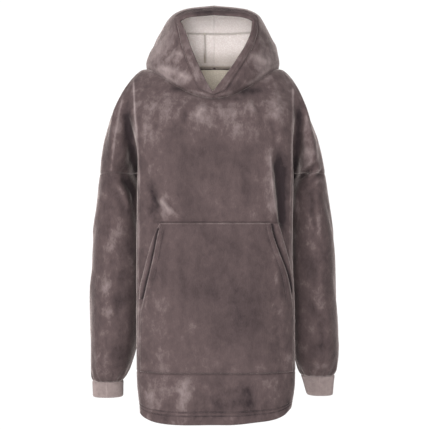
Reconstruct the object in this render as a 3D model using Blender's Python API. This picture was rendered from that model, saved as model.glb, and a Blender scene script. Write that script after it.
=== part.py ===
"""A wearable blanket hoodie, filled out as it hangs on its wearer, modelled piece by piece.

Metres, +Z up. The front faces -Y and the wearer's right side is at -X. The origin is the middle
of the neck, level with the shoulders, where the wearer holds the garment up.

The outside of the whole garment is one skin of rings. Each cut piece takes its own part of that
skin, draws back from its seams and gets a wall on the inner side. Pieces that meet at a seam
share the skin's normals there, so their edges stay parallel and never cross.
"""

import math

import bpy
import numpy as np

# Driving dimensions
COLLECTION_NAME = "wearable_blanket_hoodie"
BODY_WALL = 0.0045
HEM_WALL = 0.0080
CUFF_WALL = 0.0030
HOOD_WALL = 0.0030
LINING_WALL = 0.0030
BAND_WALL = 0.0030
POCKET_WALL = 0.0030
FACING_WALL = 0.0015
SEAM_SETBACK = 0.00016
LAYER_GAP = 0.0003

YOKE_BOTTOM_Z = -0.126
SLEEVE_SEAM_Z = -0.255
HEM_STITCH_Z = -0.829
HEM_Z = -0.856
HEM_GROOVE = 0.0015
HEM_SIDE_RISE = 0.011
HEM_RISE_FROM_Z = -0.735

POCKET_TOP_Z = -0.3765
POCKET_BOTTOM_Z = -0.7335
POCKET_CLEARANCE = 0.0013
POCKET_BULGE = 0.0135
POCKET_UPPER_POWER = 0.6
POCKET_LOWER_POWER = 0.8
POCKET_SIDE_POWER = 3

HOOD_BAND_WIDTH = 0.022
HOOD_BAND_MOST = 0.55
HOOD_FACING_WIDTH = 0.042
HOOD_FACING_MOST = 0.75

# Neckline: an oval that dips at the front and stands a little higher at the back. The cloth leaves
# it by these amounts outwards, forwards and down, and meets the first level ring from above.
NECK_LEFT = 0.170
NECK_RIGHT = 0.1635
NECK_FRONT_Y = -0.125
NECK_BACK_Y = 0.120
NECK_FRONT_Z = -0.076
NECK_SIDE_Z = 0.007
NECK_BACK_Z = 0.025
NECK_DIP_POWER = 2.7
YOKE_OUT = 0.105
YOKE_FORWARD = 0.060
YOKE_DOWN = 0.110
YOKE_SIDE_LIFT = 0.085
YOKE_ARRIVAL = 4.5

# Columns round a ring: the steps from each named place on the section to the next. Each quarter
# runs from the arm's outer side over the armpit to the middle of the front or the back.
ARM_STEPS = (2, 2, 1, 2)
PIT_STEPS = (1,)
TORSO_STEPS = (2, 3, 3)
ARM_COLUMNS = sum(ARM_STEPS)
TORSO_COLUMNS = sum(TORSO_STEPS)
HALF_COLUMNS = ARM_COLUMNS + len(PIT_STEPS) + TORSO_COLUMNS
RING_COLUMNS = 4 * HALF_COLUMNS

# Columns where the arms end and where the body starts, at each armpit
ARM_FRONT_LEFT = ARM_COLUMNS
ARM_FRONT_RIGHT = 2 * HALF_COLUMNS - ARM_COLUMNS
ARM_BACK_RIGHT = 2 * HALF_COLUMNS + ARM_COLUMNS
ARM_BACK_LEFT = RING_COLUMNS - ARM_COLUMNS
BODY_FRONT_LEFT = ARM_FRONT_LEFT + 1
BODY_FRONT_RIGHT = ARM_FRONT_RIGHT - 1
BODY_BACK_RIGHT = ARM_BACK_RIGHT + 1
BODY_BACK_LEFT = ARM_BACK_LEFT - 1

# Heights of the rings, and how many rows the yoke, the sleeves and the hood take
UPPER_ZS = (-0.148, -0.171, -0.194, -0.215, -0.232, -0.245)
LOWER_ZS = (-0.268, -0.284, -0.305, -0.335, -0.3765, -0.405, -0.445, -0.486, -0.526, -0.560, -0.590,
            -0.625, -0.660, -0.700, -0.7335, -0.765, -0.797, -0.822, HEM_STITCH_Z, -0.836, HEM_Z)
YOKE_ROWS = 5
SLEEVE_ROWS_ABOVE_GATHERS = 8
GATHERS_ABOVE_CUFF = 0.075
GATHER_HEIGHTS = (0.052, 0.032, 0.015, 0.0)
CUFF_SHARES = (0.12, 0.56, 1.0)
HOOD_PANEL_ROWS = 6
HOOD_FACING_ROWS = 2
POCKET_COLUMNS = 16
FACING_COLUMNS = 5

# Angle round the neckline, from the front middle, of each named place on the section
NECK_ANGLES = {"outer": 90.0, "shoulder": 85.0, "crest": 80.0, "inner": 77.0, "arm_pit": 73.0,
               "body_pit": 70.0, "ridge": 60.0, "quarter": 34.0, "middle": 0.0}

# Shape of a section between its table's places: depth of the outlines' middle, how far the arm's
# shoulder lies in from the outline and stands off the middle, how much of the armpit's depth the
# arm's inner side takes, and where the quarter place lies on the way to the ridge
ARM_MIDDLE_Y = 0.018
TORSO_SIDE_Y = 0.010
SHOULDER_INSET = 0.26
SHOULDER_DEPTH = 0.72
INNER_DEPTH_SHARE = 0.28
QUARTER_PLACE = 0.62

# Section of body and upper arms above the sleeve seams: one row for each height.
# out: outline. valley: middle of the groove between arm and body, whose floor is PIT_WIDTH wide.
# ridge: fold at the body's side.
PIT_WIDTH = 0.012
UPPER_NAMES = ("z", "out_l", "out_r", "crest_l", "crest_r", "crest_f", "crest_b",
               "valley_l", "valley_r", "valley_f", "valley_b",
               "ridge_l", "ridge_r", "ridge_f", "ridge_b", "quarter_f", "quarter_b",
               "middle_f", "middle_b")
UPPER_ROWS = (
    (-0.126, 0.2570, 0.2375, 0.241, 0.226, -0.104, 0.112, 0.2170, 0.2060, -0.101, 0.112,
     0.1880, 0.1880, -0.120, 0.128, -0.141, 0.146, -0.146, 0.152),
    (-0.171, 0.2705, 0.2560, 0.243, 0.235, -0.094, 0.108, 0.2060, 0.2030, -0.080, 0.100,
     0.1835, 0.1870, -0.121, 0.127, -0.146, 0.148, -0.151, 0.155),
    (-0.215, 0.2795, 0.2685, 0.244, 0.241, -0.082, 0.105, 0.1950, 0.1980, -0.048, 0.078,
     0.1805, 0.1865, -0.119, 0.125, -0.148, 0.149, -0.153, 0.156),
    (-0.240, 0.2830, 0.2740, 0.244, 0.243, -0.072, 0.103, 0.1860, 0.1925, -0.010, 0.048,
     0.1795, 0.1860, -0.118, 0.122, -0.149, 0.149, -0.154, 0.156),
    (-0.255, 0.2850, 0.2765, 0.244, 0.244, -0.066, 0.102, 0.1830, 0.1895, 0.018, 0.018,
     0.1790, 0.1860, -0.117, 0.120, -0.149, 0.149, -0.154, 0.156),
)

# Section of the body below the sleeve seams
LOWER_NAMES = ("z", "side_l", "side_r", "ridge_l", "ridge_r", "ridge_f", "ridge_b",
               "quarter_f", "quarter_b", "middle_f", "middle_b")
LOWER_ROWS = (
    (-0.255, 0.1765, 0.1830, 0.1790, 0.1860, -0.117, 0.120, -0.149, 0.149, -0.154, 0.156),
    (-0.300, 0.1710, 0.1790, 0.1790, 0.1845, -0.115, 0.118, -0.150, 0.150, -0.155, 0.156),
    (-0.450, 0.1710, 0.1790, 0.1810, 0.1820, -0.114, 0.116, -0.151, 0.150, -0.156, 0.155),
    (-0.600, 0.1720, 0.1810, 0.1810, 0.1885, -0.114, 0.115, -0.152, 0.149, -0.157, 0.155),
    (-0.720, 0.1730, 0.1820, 0.1800, 0.1900, -0.113, 0.114, -0.152, 0.148, -0.157, 0.154),
    (-0.856, 0.1720, 0.1790, 0.1760, 0.1850, -0.110, 0.112, -0.149, 0.147, -0.154, 0.152),
)

# Sleeves: outline at the outer and the inner side, middle and half depth of each section
SLEEVE_NAMES = ("z", "outer", "inner", "mid_y", "half_depth")
SLEEVE_ROWS = {
    "left": (
        (-0.300, 0.2920, 0.1855, 0.028, 0.081),
        (-0.420, 0.3035, 0.1840, 0.032, 0.082),
        (-0.550, 0.3100, 0.1850, 0.034, 0.082),
        (-0.650, 0.3105, 0.1890, 0.034, 0.080),
        (-0.700, 0.3100, 0.1990, 0.034, 0.074),
        (-0.735, 0.3105, 0.2085, 0.034, 0.064),
        (-0.760, 0.3095, 0.2200, 0.034, 0.052),
        (-0.774, 0.3070, 0.2290, 0.034, 0.042),
        (-0.814, 0.3055, 0.2300, 0.034, 0.040),
    ),
    "right": (
        (-0.300, 0.2860, 0.1945, 0.028, 0.083),
        (-0.420, 0.3030, 0.1930, 0.032, 0.083),
        (-0.550, 0.3085, 0.1940, 0.034, 0.083),
        (-0.650, 0.3135, 0.1955, 0.034, 0.081),
        (-0.690, 0.3145, 0.1985, 0.034, 0.076),
        (-0.722, 0.3130, 0.2045, 0.034, 0.067),
        (-0.745, 0.3105, 0.2110, 0.034, 0.055),
        (-0.760, 0.3045, 0.2190, 0.034, 0.043),
        (-0.810, 0.2995, 0.2350, 0.034, 0.036),
    ),
}
SLEEVE_ROUNDNESS = 2.3
ARMHOLE_BLEND = 0.050
ARMHOLE_EASE = 1.5
CUFF_TOP_Z = {"left": -0.774, "right": -0.760}
CUFF_BOTTOM_Z = {"left": -0.814, "right": -0.810}

# Hood: the opening's edge, and how the cloth leaves the edge and the neckline, from the chin (0)
# up the sides to the top middle (1). x is measured to the garment's own side.
HOOD_NAMES = ("at", "edge_l", "edge_r", "edge_y", "edge_z",
              "leave_x", "leave_y", "leave_z", "rise_x", "rise_y", "rise_z")
HOOD_ROWS = (
    (0.00, 0.003, -0.003, -0.131, -0.062, 0.000, -0.002, -0.003, 0.000, -0.002, 0.004),
    (0.12, 0.017, 0.015, -0.130, -0.038, 0.014, -0.004, -0.004, -0.006, -0.012, 0.010),
    (0.25, 0.031, 0.036, -0.128, -0.010, 0.032, -0.002, -0.004, -0.008, -0.018, 0.022),
    (0.38, 0.046, 0.059, -0.124, 0.022, 0.054, 0.016, 0.000, -0.002, -0.010, 0.038),
    (0.50, 0.058, 0.077, -0.119, 0.050, 0.066, 0.034, 0.010, 0.002, 0.000, 0.056),
    (0.65, 0.071, 0.092, -0.112, 0.083, 0.056, 0.050, 0.028, 0.016, 0.018, 0.080),
    (0.78, 0.083, 0.096, -0.105, 0.109, 0.036, 0.056, 0.050, 0.028, 0.032, 0.098),
    (0.88, 0.060, 0.070, -0.102, 0.123, 0.020, 0.058, 0.066, 0.020, 0.038, 0.108),
    (1.00, 0.000, 0.000, -0.100, 0.129, 0.000, 0.060, 0.074, 0.000, 0.040, 0.112),
)
HOOD_FULLNESS = {"left": 1.0, "right": 0.86}

# Pocket: x of each opening's edge down the slant, and how far the edges stand off the front
POCKET_NAMES = ("z", "left", "right", "gape")
POCKET_ROWS = (
    (-0.3765, 0.1260, 0.1345, 0.000),
    (-0.4050, 0.1360, 0.1400, 0.011),
    (-0.4450, 0.1434, 0.1535, 0.017),
    (-0.4860, 0.1506, 0.1690, 0.015),
    (-0.5260, 0.1598, 0.1800, 0.010),
    (-0.5600, 0.1690, 0.1850, 0.006),
    (-0.6000, 0.1760, 0.1880, 0.002),
    (-0.7335, 0.1760, 0.1880, 0.000),
)
FACING_CLEARANCE = 0.0018
FACING_SHOWS = 0.016
FACING_HIDDEN = 0.018
FACING_NARROWING = 0.75
FACING_TOP_Z = -0.386
FACING_BOTTOM_Z = -0.560

# Large folds of the body: x and z of each end, half width, and height out of the surface or in.
# Each fades over FOLD_FADE of its length and keeps FOLD_END of its strength at its very ends.
FOLD_FADE = 0.35
FOLD_END = 0.3
FOLD_NAMES = ("face", "x0", "z0", "x1", "z1", "half_width", "height")
FOLDS = (
    ("front", 0.130, -0.190, 0.147, -0.385, 0.015, 0.0060),
    ("front", 0.160, -0.200, 0.168, -0.400, 0.014, -0.0070),
    ("front", -0.145, -0.270, -0.141, -0.380, 0.014, -0.0050),
    ("front", -0.118, -0.300, -0.128, -0.372, 0.014, 0.0040),
    ("front", -0.060, -0.740, -0.075, -0.856, 0.022, 0.0030),
    ("front", 0.080, -0.745, 0.095, -0.856, 0.020, -0.0030),
    ("back", -0.110, -0.180, -0.085, -0.520, 0.022, -0.0080),
    ("back", 0.105, -0.160, 0.075, -0.560, 0.024, -0.0080),
    ("back", 0.020, -0.420, -0.030, -0.856, 0.028, 0.0060),
    ("back", 0.130, -0.560, 0.120, -0.856, 0.022, 0.0050),
    ("back", -0.125, -0.600, -0.135, -0.856, 0.022, -0.0050),
)

SHARP_EDGE_DEGREES = 50.0

# Fabrics: sRGB colour and roughness
FABRICS = {
    "plush": ("#6b5d5c", 0.95),
    "sherpa": ("#dfd6d3", 1.00),
    "rib": ("#958683", 0.90),
}


def linear(hex_colour):
    """The linear RGB of an sRGB hex colour."""
    parts = [int(hex_colour[k:k + 2], 16) / 255 for k in (1, 3, 5)]
    return [c / 12.92 if c <= 0.04045 else ((c + 0.055) / 1.055) ** 2.4 for c in parts]


def smooth_curve(knots, values, at):
    """A cubic through the values at rising knots that doesn't overshoot between them."""
    knots = np.asarray(knots, float)
    values = np.asarray(values, float)
    if values.ndim == 1:
        values = values[:, None]
    at = np.clip(np.atleast_1d(at), knots[0], knots[-1])
    step = np.diff(knots)[:, None]
    slope = np.diff(values, axis=0) / step
    tangent = np.zeros_like(values)
    tangent[0] = slope[0]
    tangent[-1] = slope[-1]
    before, after = slope[:-1], slope[1:]
    same_way = before * after > 0
    mean = np.divide(2 * before * after, before + after, out=np.zeros_like(before), where=same_way)
    tangent[1:-1] = mean
    index = np.clip(np.searchsorted(knots, at, side="right") - 1, 0, len(knots) - 2)
    width = step[index]
    t = ((at - knots[index]) / width[:, 0])[:, None]
    low, high = values[index], values[index + 1]
    return (low * (2 * t**3 - 3 * t**2 + 1) + width * tangent[index] * (t**3 - 2 * t**2 + t)
            + high * (3 * t**2 - 2 * t**3) + width * tangent[index + 1] * (t**3 - t**2))


def table_at(names, rows, at, falling=False):
    """The named values of a table at one place of its first column, as a dict."""
    data = np.array(rows, float)
    if falling:
        data = data[::-1]
    values = smooth_curve(data[:, 0], data[:, 1:], at)[0]
    return dict(zip(names[1:], values))


def closed_spline(keys, steps):
    """Points round a closed line through the key points, with the given steps between each two."""
    keys = np.asarray(keys, float)
    count = len(keys)
    before = np.roll(keys, 1, axis=0)
    after = np.roll(keys, -1, axis=0)
    reach_before = np.linalg.norm(keys - before, axis=1)[:, None]
    reach_after = np.linalg.norm(after - keys, axis=1)[:, None]
    direction = ((keys - before) / reach_before * reach_after
                 + (after - keys) / reach_after * reach_before) / (reach_before + reach_after)
    points = []
    for k in range(count):
        nxt = (k + 1) % count
        reach = reach_after[k]
        for j in range(steps[k]):
            t = j / steps[k]
            points.append(keys[k] * (2 * t**3 - 3 * t**2 + 1)
                          + direction[k] * reach * (t**3 - 2 * t**2 + t)
                          + keys[nxt] * (3 * t**2 - 2 * t**3)
                          + direction[nxt] * reach * (t**3 - t**2))
    return np.array(points)


def half_section(row, side, face):
    """Key points of one quarter of an upper section, from the outline to the middle."""
    sign = -1 if side == "l" else 1
    out, crest, valley, ridge = (
        row[f"{name}_{side}"] for name in ("out", "crest", "valley", "ridge"))
    crest_y, valley_y, ridge_y, quarter_y, middle_y = (
        row[f"{name}_{face}"] for name in ("crest", "valley", "ridge", "quarter", "middle"))
    arm_pit = valley + PIT_WIDTH / 2
    body_pit = valley - PIT_WIDTH / 2
    shoulder = (out - SHOULDER_INSET * (out - crest),
                ARM_MIDDLE_Y + SHOULDER_DEPTH * (crest_y - ARM_MIDDLE_Y))
    inner = ((crest + arm_pit) / 2, crest_y + INNER_DEPTH_SHARE * (valley_y - crest_y))
    places = [(out, ARM_MIDDLE_Y), shoulder, (crest, crest_y), inner,
              (arm_pit, valley_y), (body_pit, valley_y),
              (ridge, ridge_y), (QUARTER_PLACE * ridge, quarter_y), (0.0, middle_y)]
    return [(sign * x, y) for x, y in places]


def ring_of_quarters(front_left, front_right, back_right, back_left, steps):
    """A closed ring from four quarters, each listed from the side inwards."""
    keys = (front_left + front_right[-2::-1] + back_right[1:] + back_left[-2:0:-1])
    return closed_spline(keys, steps + steps[::-1] + steps + steps[::-1])


def upper_ring(z):
    """The section of body and upper arms at one height."""
    row = table_at(UPPER_NAMES, UPPER_ROWS, z, falling=True)
    quarters = [half_section(row, side, face) for side, face in ("lf", "rf", "rb", "lb")]
    flat = ring_of_quarters(*quarters, ARM_STEPS + PIT_STEPS + TORSO_STEPS)
    return np.column_stack([flat, np.full(len(flat), z)])


def lower_ring(z):
    """The section of the body at one height below the sleeve seams."""
    row = table_at(LOWER_NAMES, LOWER_ROWS, z, falling=True)
    quarters = []
    for side, face in ("lf", "rf", "rb", "lb"):
        sign = -1 if side == "l" else 1
        ridge = row[f"ridge_{side}"]
        quarters.append([(sign * row[f"side_{side}"], TORSO_SIDE_Y),
                         (sign * ridge, row[f"ridge_{face}"]),
                         (sign * QUARTER_PLACE * ridge, row[f"quarter_{face}"]),
                         (0.0, row[f"middle_{face}"])])
    flat = ring_of_quarters(*quarters, TORSO_STEPS)
    return np.column_stack([flat, np.full(len(flat), z)])


def neck_point(angle, sign):
    """A point of the neckline, at an angle from the front middle towards the given side."""
    turn = math.radians(angle)
    width = NECK_LEFT if sign < 0 else NECK_RIGHT
    mid_y = (NECK_FRONT_Y + NECK_BACK_Y) / 2
    y = mid_y + (NECK_FRONT_Y - mid_y) * math.cos(turn)
    if angle <= 90:
        rise = 1 - max(math.cos(turn), 0.0) ** NECK_DIP_POWER
        z = NECK_FRONT_Z + (NECK_SIDE_Z - NECK_FRONT_Z) * rise
    else:
        z = NECK_SIDE_Z + (NECK_BACK_Z - NECK_SIDE_Z) * math.cos(turn) ** 2
    return (sign * width * math.sin(turn), y, z)


def neck_angles():
    """The signed side and the angle of every column of the neckline ring."""
    marks = list(NECK_ANGLES.values())
    quarter = []
    for k, steps in enumerate(ARM_STEPS + PIT_STEPS + TORSO_STEPS):
        for j in range(steps):
            quarter.append(marks[k] + (marks[k + 1] - marks[k]) * j / steps)
    front_left = [(-1, a) for a in quarter]
    front_right = [(1, a) for a in [0.0] + quarter[:0:-1]]
    back_right = [(1, 180 - a) for a in quarter]
    back_left = [(-1, 180 - a) for a in [0.0] + quarter[:0:-1]]
    return front_left + front_right + back_right + back_left


def neck_ring():
    """The neckline, column by column."""
    return np.array([neck_point(angle, sign) for sign, angle in neck_angles()])


def yoke_rows(neck, ring, below, count):
    """Rows from the neckline out over the shoulders and down to the first level ring."""
    rows = []
    leave = np.zeros_like(neck)
    for k, (sign, angle) in enumerate(neck_angles()):
        turn = math.radians(angle)
        sideways = math.sin(turn) ** 2
        forward = -math.cos(turn)
        leave[k] = (sign * YOKE_OUT * sideways, YOKE_FORWARD * forward * abs(forward),
                    -YOKE_DOWN + YOKE_SIDE_LIFT * sideways)
    arrive = (below - ring) * YOKE_ARRIVAL
    for t in np.linspace(0, 1, count + 1)[1:-1]:
        rows.append(neck * (2 * t**3 - 3 * t**2 + 1) + leave * (t**3 - 2 * t**2 + t)
                    + ring * (3 * t**2 - 2 * t**3) + arrive * (t**3 - t**2))
    return rows


def hem_rise(x, z):
    """How far the cloth near the hem curves up towards the sides."""
    near = np.clip((HEM_RISE_FROM_Z - z) / (HEM_RISE_FROM_Z - HEM_Z), 0, 1)
    return HEM_SIDE_RISE * near * np.minimum(np.abs(x) / LOWER_ROWS[-1][1], 1.0) ** 4


def sleeve_ring(side, z):
    """A sleeve's section, with its columns in the order of the armhole's."""
    sign = -1 if side == "left" else 1
    row = table_at(SLEEVE_NAMES, SLEEVE_ROWS[side], z, falling=True)
    mid_x = (row["outer"] + row["inner"]) / 2
    half_width = (row["outer"] - row["inner"]) / 2
    points = []
    for k in range(2 * ARM_COLUMNS):
        turn = math.pi * k / ARM_COLUMNS
        c, s = math.cos(turn), math.sin(turn)
        along = math.copysign(abs(c) ** (2 / SLEEVE_ROUNDNESS), c)
        across = math.copysign(abs(s) ** (2 / SLEEVE_ROUNDNESS), s)
        points.append((sign * (mid_x - half_width * along),
                       row["mid_y"] + row["half_depth"] * across, z))
    return np.array(points)


def fold_shift(points, normals, face_signs):
    """Moves points of the body along their normals by the large folds that pass near them."""
    moved = points.copy()
    for face, x0, z0, x1, z1, half_width, height in FOLDS:
        start = np.array((x0, z0))
        along = np.array((x1, z1)) - start
        length = np.linalg.norm(along)
        along /= length
        rel = points[:, [0, 2]] - start
        run = rel @ along
        off = np.abs(rel @ np.array((-along[1], along[0])))
        inside = np.clip(np.minimum(run, length - run) / (FOLD_FADE * length) + FOLD_END, 0, 1)
        ease = inside**2 * (3 - 2 * inside)
        wanted = -1 if face == "front" else 1
        strength = height * ease * np.exp(-((off / half_width) ** 2)) * (face_signs == wanted)
        moved += normals * strength[:, None]
    return moved


def hood_meridian(sign, angle, neck, at):
    """Points of the hood from the neckline (0) to the edge of its opening (1)."""
    row = table_at(HOOD_NAMES, HOOD_ROWS, angle / 180)
    edge_x = row["edge_l"] if sign < 0 else row["edge_r"]
    edge = np.array((sign * edge_x, row["edge_y"], row["edge_z"]))
    full = sign * HOOD_FULLNESS["left" if sign < 0 else "right"]
    near_edge = edge + (full * row["leave_x"], row["leave_y"], row["leave_z"])
    near_neck = neck + (full * row["rise_x"], row["rise_y"], row["rise_z"])
    t = np.asarray(at)[:, None]
    return (neck * (1 - t) ** 3 + 3 * near_neck * (1 - t) ** 2 * t
            + 3 * near_edge * (1 - t) * t**2 + edge * t**3)


def hood_rows(neck, panel_rows, facing_rows):
    """Rows of the hood above the neckline: side panel, then facing width, then band width."""
    fine = np.linspace(0, 1, 81)
    columns = []
    for (sign, angle), foot in zip(neck_angles(), neck):
        line = hood_meridian(sign, angle, foot, fine)
        reach = np.concatenate([[0], np.cumsum(np.linalg.norm(np.diff(line, axis=0), axis=1))])
        whole = reach[-1]
        band_edge = whole - min(HOOD_BAND_WIDTH, HOOD_BAND_MOST * whole)
        facing_edge = whole - min(HOOD_FACING_WIDTH, HOOD_FACING_MOST * whole)
        stops = np.concatenate([np.linspace(0, facing_edge, panel_rows + 1)[1:],
                                np.linspace(facing_edge, band_edge, facing_rows + 1)[1:],
                                [(band_edge + whole) / 2, whole]])
        columns.append(np.array([[np.interp(s, reach, line[:, axis]) for axis in range(3)]
                                 for s in stops]))
    return [np.array([column[k] for column in columns]) for k in range(len(columns[0]))]


class Skin:
    """The whole outside as points and faces. Each face carries the name of its piece."""

    def __init__(self):
        self.points = []
        self.faces = []
        self.pieces = []
        self.sides = []

    def add_row(self, row, face_signs):
        """Adds points, each on the front (-1), the back (1) or neither, and returns their indices."""
        first = len(self.points)
        self.points.extend(row)
        self.sides.extend(face_signs)
        return list(range(first, first + len(row)))

    def bridge(self, upper, lower, piece_of_column):
        """Quads between two closed rows of indices, the upper one first."""
        count = len(upper)
        for k in range(count):
            nxt = (k + 1) % count
            self.faces.append((upper[k], lower[k], lower[nxt], upper[nxt]))
            self.pieces.append(piece_of_column(k))

    def normals(self):
        """The normal at every point, shared by all the faces that meet there."""
        points = np.array(self.points)
        quads = np.array(self.faces)
        across = points[quads[:, 2]] - points[quads[:, 0]]
        other = points[quads[:, 3]] - points[quads[:, 1]]
        face_normals = np.cross(across, other)
        face_normals /= np.linalg.norm(face_normals, axis=1)[:, None]
        total = np.zeros_like(points)
        for corner in range(4):
            np.add.at(total, quads[:, corner], face_normals)
        return total / np.maximum(np.linalg.norm(total, axis=1), 1e-9)[:, None]


def front_or_back(k):
    """Which body panel a column of the upper rings lies in."""
    return "body_front" if k < 2 * HALF_COLUMNS else "body_back"


def hood_side(k):
    """Which half of the hood a column lies in."""
    return "right" if HALF_COLUMNS <= k < 3 * HALF_COLUMNS else "left"


def build_skin():
    """The skin, with the point indices of the body's lower rows by height."""
    skin = Skin()
    neck = neck_ring()
    first = upper_ring(YOKE_BOTTOM_Z)
    below = upper_ring(UPPER_ZS[0])
    signs = [-1] * (2 * HALF_COLUMNS) + [1] * (2 * HALF_COLUMNS)
    rows = [neck] + yoke_rows(neck, first, below, YOKE_ROWS) + [first]
    rows += [upper_ring(z) for z in UPPER_ZS]
    indices = [skin.add_row(row, signs) for row in rows]

    seam = skin.add_row(upper_ring(SLEEVE_SEAM_Z), signs)
    seam[ARM_BACK_LEFT] = seam[ARM_FRONT_LEFT]
    seam[BODY_BACK_LEFT] = seam[BODY_FRONT_LEFT]
    seam[ARM_BACK_RIGHT] = seam[ARM_FRONT_RIGHT]
    seam[BODY_BACK_RIGHT] = seam[BODY_FRONT_RIGHT]
    indices.append(seam)
    for upper, lower in zip(indices, indices[1:]):
        skin.bridge(upper, lower, front_or_back)

    torso = seam[BODY_FRONT_LEFT:BODY_FRONT_RIGHT] + seam[BODY_BACK_RIGHT:BODY_BACK_LEFT]
    torso_signs = [-1] * (2 * TORSO_COLUMNS) + [1] * (2 * TORSO_COLUMNS)
    start = np.array([skin.points[i] for i in torso])
    lower_start = lower_ring(SLEEVE_SEAM_Z)
    upper_index = torso
    lower_rows = {SLEEVE_SEAM_Z: torso}
    for z in LOWER_ZS:
        fade = max(0.0, 1 - (SLEEVE_SEAM_Z - z) / ARMHOLE_BLEND) ** 2
        row = lower_ring(z) + (start - lower_start) * (1, 1, 0) * fade
        row[:, 2] += hem_rise(row[:, 0], z)
        index = skin.add_row(row, torso_signs)
        skin.bridge(upper_index, index,
                    lambda k: "body_front" if k < 2 * TORSO_COLUMNS else "body_back")
        lower_rows[z] = index
        upper_index = index

    for side, chain in (("left", seam[ARM_BACK_LEFT:] + seam[:ARM_FRONT_LEFT]),
                        ("right", seam[ARM_FRONT_RIGHT:ARM_BACK_RIGHT])):
        add_sleeve(skin, side, chain)
    add_hood(skin, indices[0], neck)
    return skin, lower_rows


def add_sleeve(skin, side, chain):
    """Sleeve and cuff below the armhole, whose indices run round it from the armpit."""
    count = len(chain)
    start = np.array([skin.points[i] for i in chain])
    order = sleeve_order(side, count)
    cuff_top = CUFF_TOP_Z[side]
    reference = sleeve_ring(side, SLEEVE_ROWS[side][0][0])[order]
    upper = chain
    for z in sleeve_heights(cuff_top):
        ring = sleeve_ring(side, z)[order]
        fade = max(0.0, 1 - (SLEEVE_SEAM_Z - z) / ARMHOLE_BLEND)
        ring[:, :2] += (start - reference)[:, :2] * fade**ARMHOLE_EASE
        index = skin.add_row(ring, [0] * count)
        skin.bridge(upper, index, lambda k: f"sleeve_{side}")
        upper = index
    for share in CUFF_SHARES:
        z = cuff_top + (CUFF_BOTTOM_Z[side] - cuff_top) * share
        index = skin.add_row(sleeve_ring(side, z)[order], [0] * count)
        skin.bridge(upper, index, lambda k: f"cuff_{side}")
        upper = index


def sleeve_order(side, count):
    """The sleeve section's columns in the order of the armhole's, which start at the armpit."""
    way = 1 if side == "left" else -1
    return [(way * k) % count for k in range(count)]


def sleeve_heights(cuff_top):
    """Even steps down the sleeve, closer together where it gathers into the cuff."""
    straight = np.linspace(SLEEVE_SEAM_Z, cuff_top + GATHERS_ABOVE_CUFF,
                           SLEEVE_ROWS_ABOVE_GATHERS + 1)[1:]
    return list(straight) + [cuff_top + height for height in GATHER_HEIGHTS]


def add_hood(skin, neck_index, neck):
    """The hood's rows above the neckline, each half in its own pieces."""
    rows = hood_rows(neck, HOOD_PANEL_ROWS, HOOD_FACING_ROWS)
    lower = neck_index
    for k, row in enumerate(rows):
        index = skin.add_row(row, [0] * len(row))
        part = "hood_band" if k >= HOOD_PANEL_ROWS + HOOD_FACING_ROWS else "hood_side"
        skin.bridge(index, lower, lambda c, part=part: f"{part}_{hood_side(c)}")
        lower = index


def piece_mesh(name, points, faces):
    """A mesh that shades smooth, but for the edges of its wall."""
    mesh = bpy.data.meshes.new(name)
    mesh.from_pydata([tuple(p) for p in points], [], faces)
    mesh.validate()
    mesh.shade_smooth()
    mesh.set_sharp_from_angle(angle=math.radians(SHARP_EDGE_DEGREES))
    return mesh


def walled(points, normals, faces, outer_depth, inner_depth):
    """Points and faces of a closed wall under a piece of the skin.

    The outer side lies outer_depth under the skin and the inner side inner_depth under it; either
    may differ from point to point. Edges draw back from the seams by SEAM_SETBACK. The two
    pieces at a seam split its narrow faces along the same diagonals, so they stay apart.
    """
    used = sorted({i for face in faces for i in face})
    new = {old: k for k, old in enumerate(used)}
    place = np.array([points[i] for i in used])
    normal = np.array([normals[i] for i in used])
    quads = [tuple(new[i] for i in face) for face in faces]
    edges = {(quad[k], quad[(k + 1) % 4]) for quad in quads for k in range(4)}
    rim = sorted((a, b) for a, b in edges if (b, a) not in edges)
    inwards = {}
    for a, b in rim:
        across = np.cross(normal[a] + normal[b], place[b] - place[a])
        across /= np.linalg.norm(across)
        inwards.setdefault(a, []).append(across)
        inwards.setdefault(b, []).append(across)
    for a, (one, other) in inwards.items():
        place[a] = place[a] + (one + other) / max(1 + one @ other, 0.3) * SEAM_SETBACK
    outer_depth = np.broadcast_to(outer_depth, len(points))[used][:, None]
    inner_depth = np.broadcast_to(inner_depth, len(points))[used][:, None]
    count = len(used)
    both = np.vstack([place - normal * outer_depth, place - normal * inner_depth])
    solid = []
    for a, b, c, d in quads:
        solid += [(a, b, c), (a, c, d)]
        solid += [(count + c, count + b, count + a), (count + d, count + c, count + a)]
    for a, b in rim:
        if used[a] < used[b]:
            solid += [(b, a, count + b), (a, count + a, count + b)]
        else:
            solid += [(b, a, count + a), (b, count + a, count + b)]
    return both, solid


def fabric_material(name, fabric):
    """A piece's own material, in its fabric's colour and roughness."""
    colour, roughness = FABRICS[fabric]
    material = bpy.data.materials.new(f"{fabric}_{name}")
    material.use_nodes = True
    shader = material.node_tree.nodes["Principled BSDF"]
    shader.inputs["Base Color"].default_value = (*linear(colour), 1.0)
    shader.inputs["Roughness"].default_value = roughness
    material.diffuse_color = (*linear(colour), 1.0)
    return material


def add_piece(collection, name, points, faces, fabric):
    """One named solid of the garment."""
    mesh = piece_mesh(name, points, faces)
    mesh.materials.append(fabric_material(name, fabric))
    obj = bpy.data.objects.new(name, mesh)
    collection.objects.link(obj)


def depths_of_body(points, lower_rows):
    """Outer and inner depth of the body's wall: doubled at the turned hem, grooved at its stitches."""
    outer = np.zeros(len(points))
    inner = np.full(len(points), BODY_WALL)
    outer[lower_rows[HEM_STITCH_Z]] = HEM_GROOVE
    for z, index in lower_rows.items():
        if z < HEM_STITCH_Z:
            inner[index] = HEM_WALL
    return outer, inner


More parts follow.
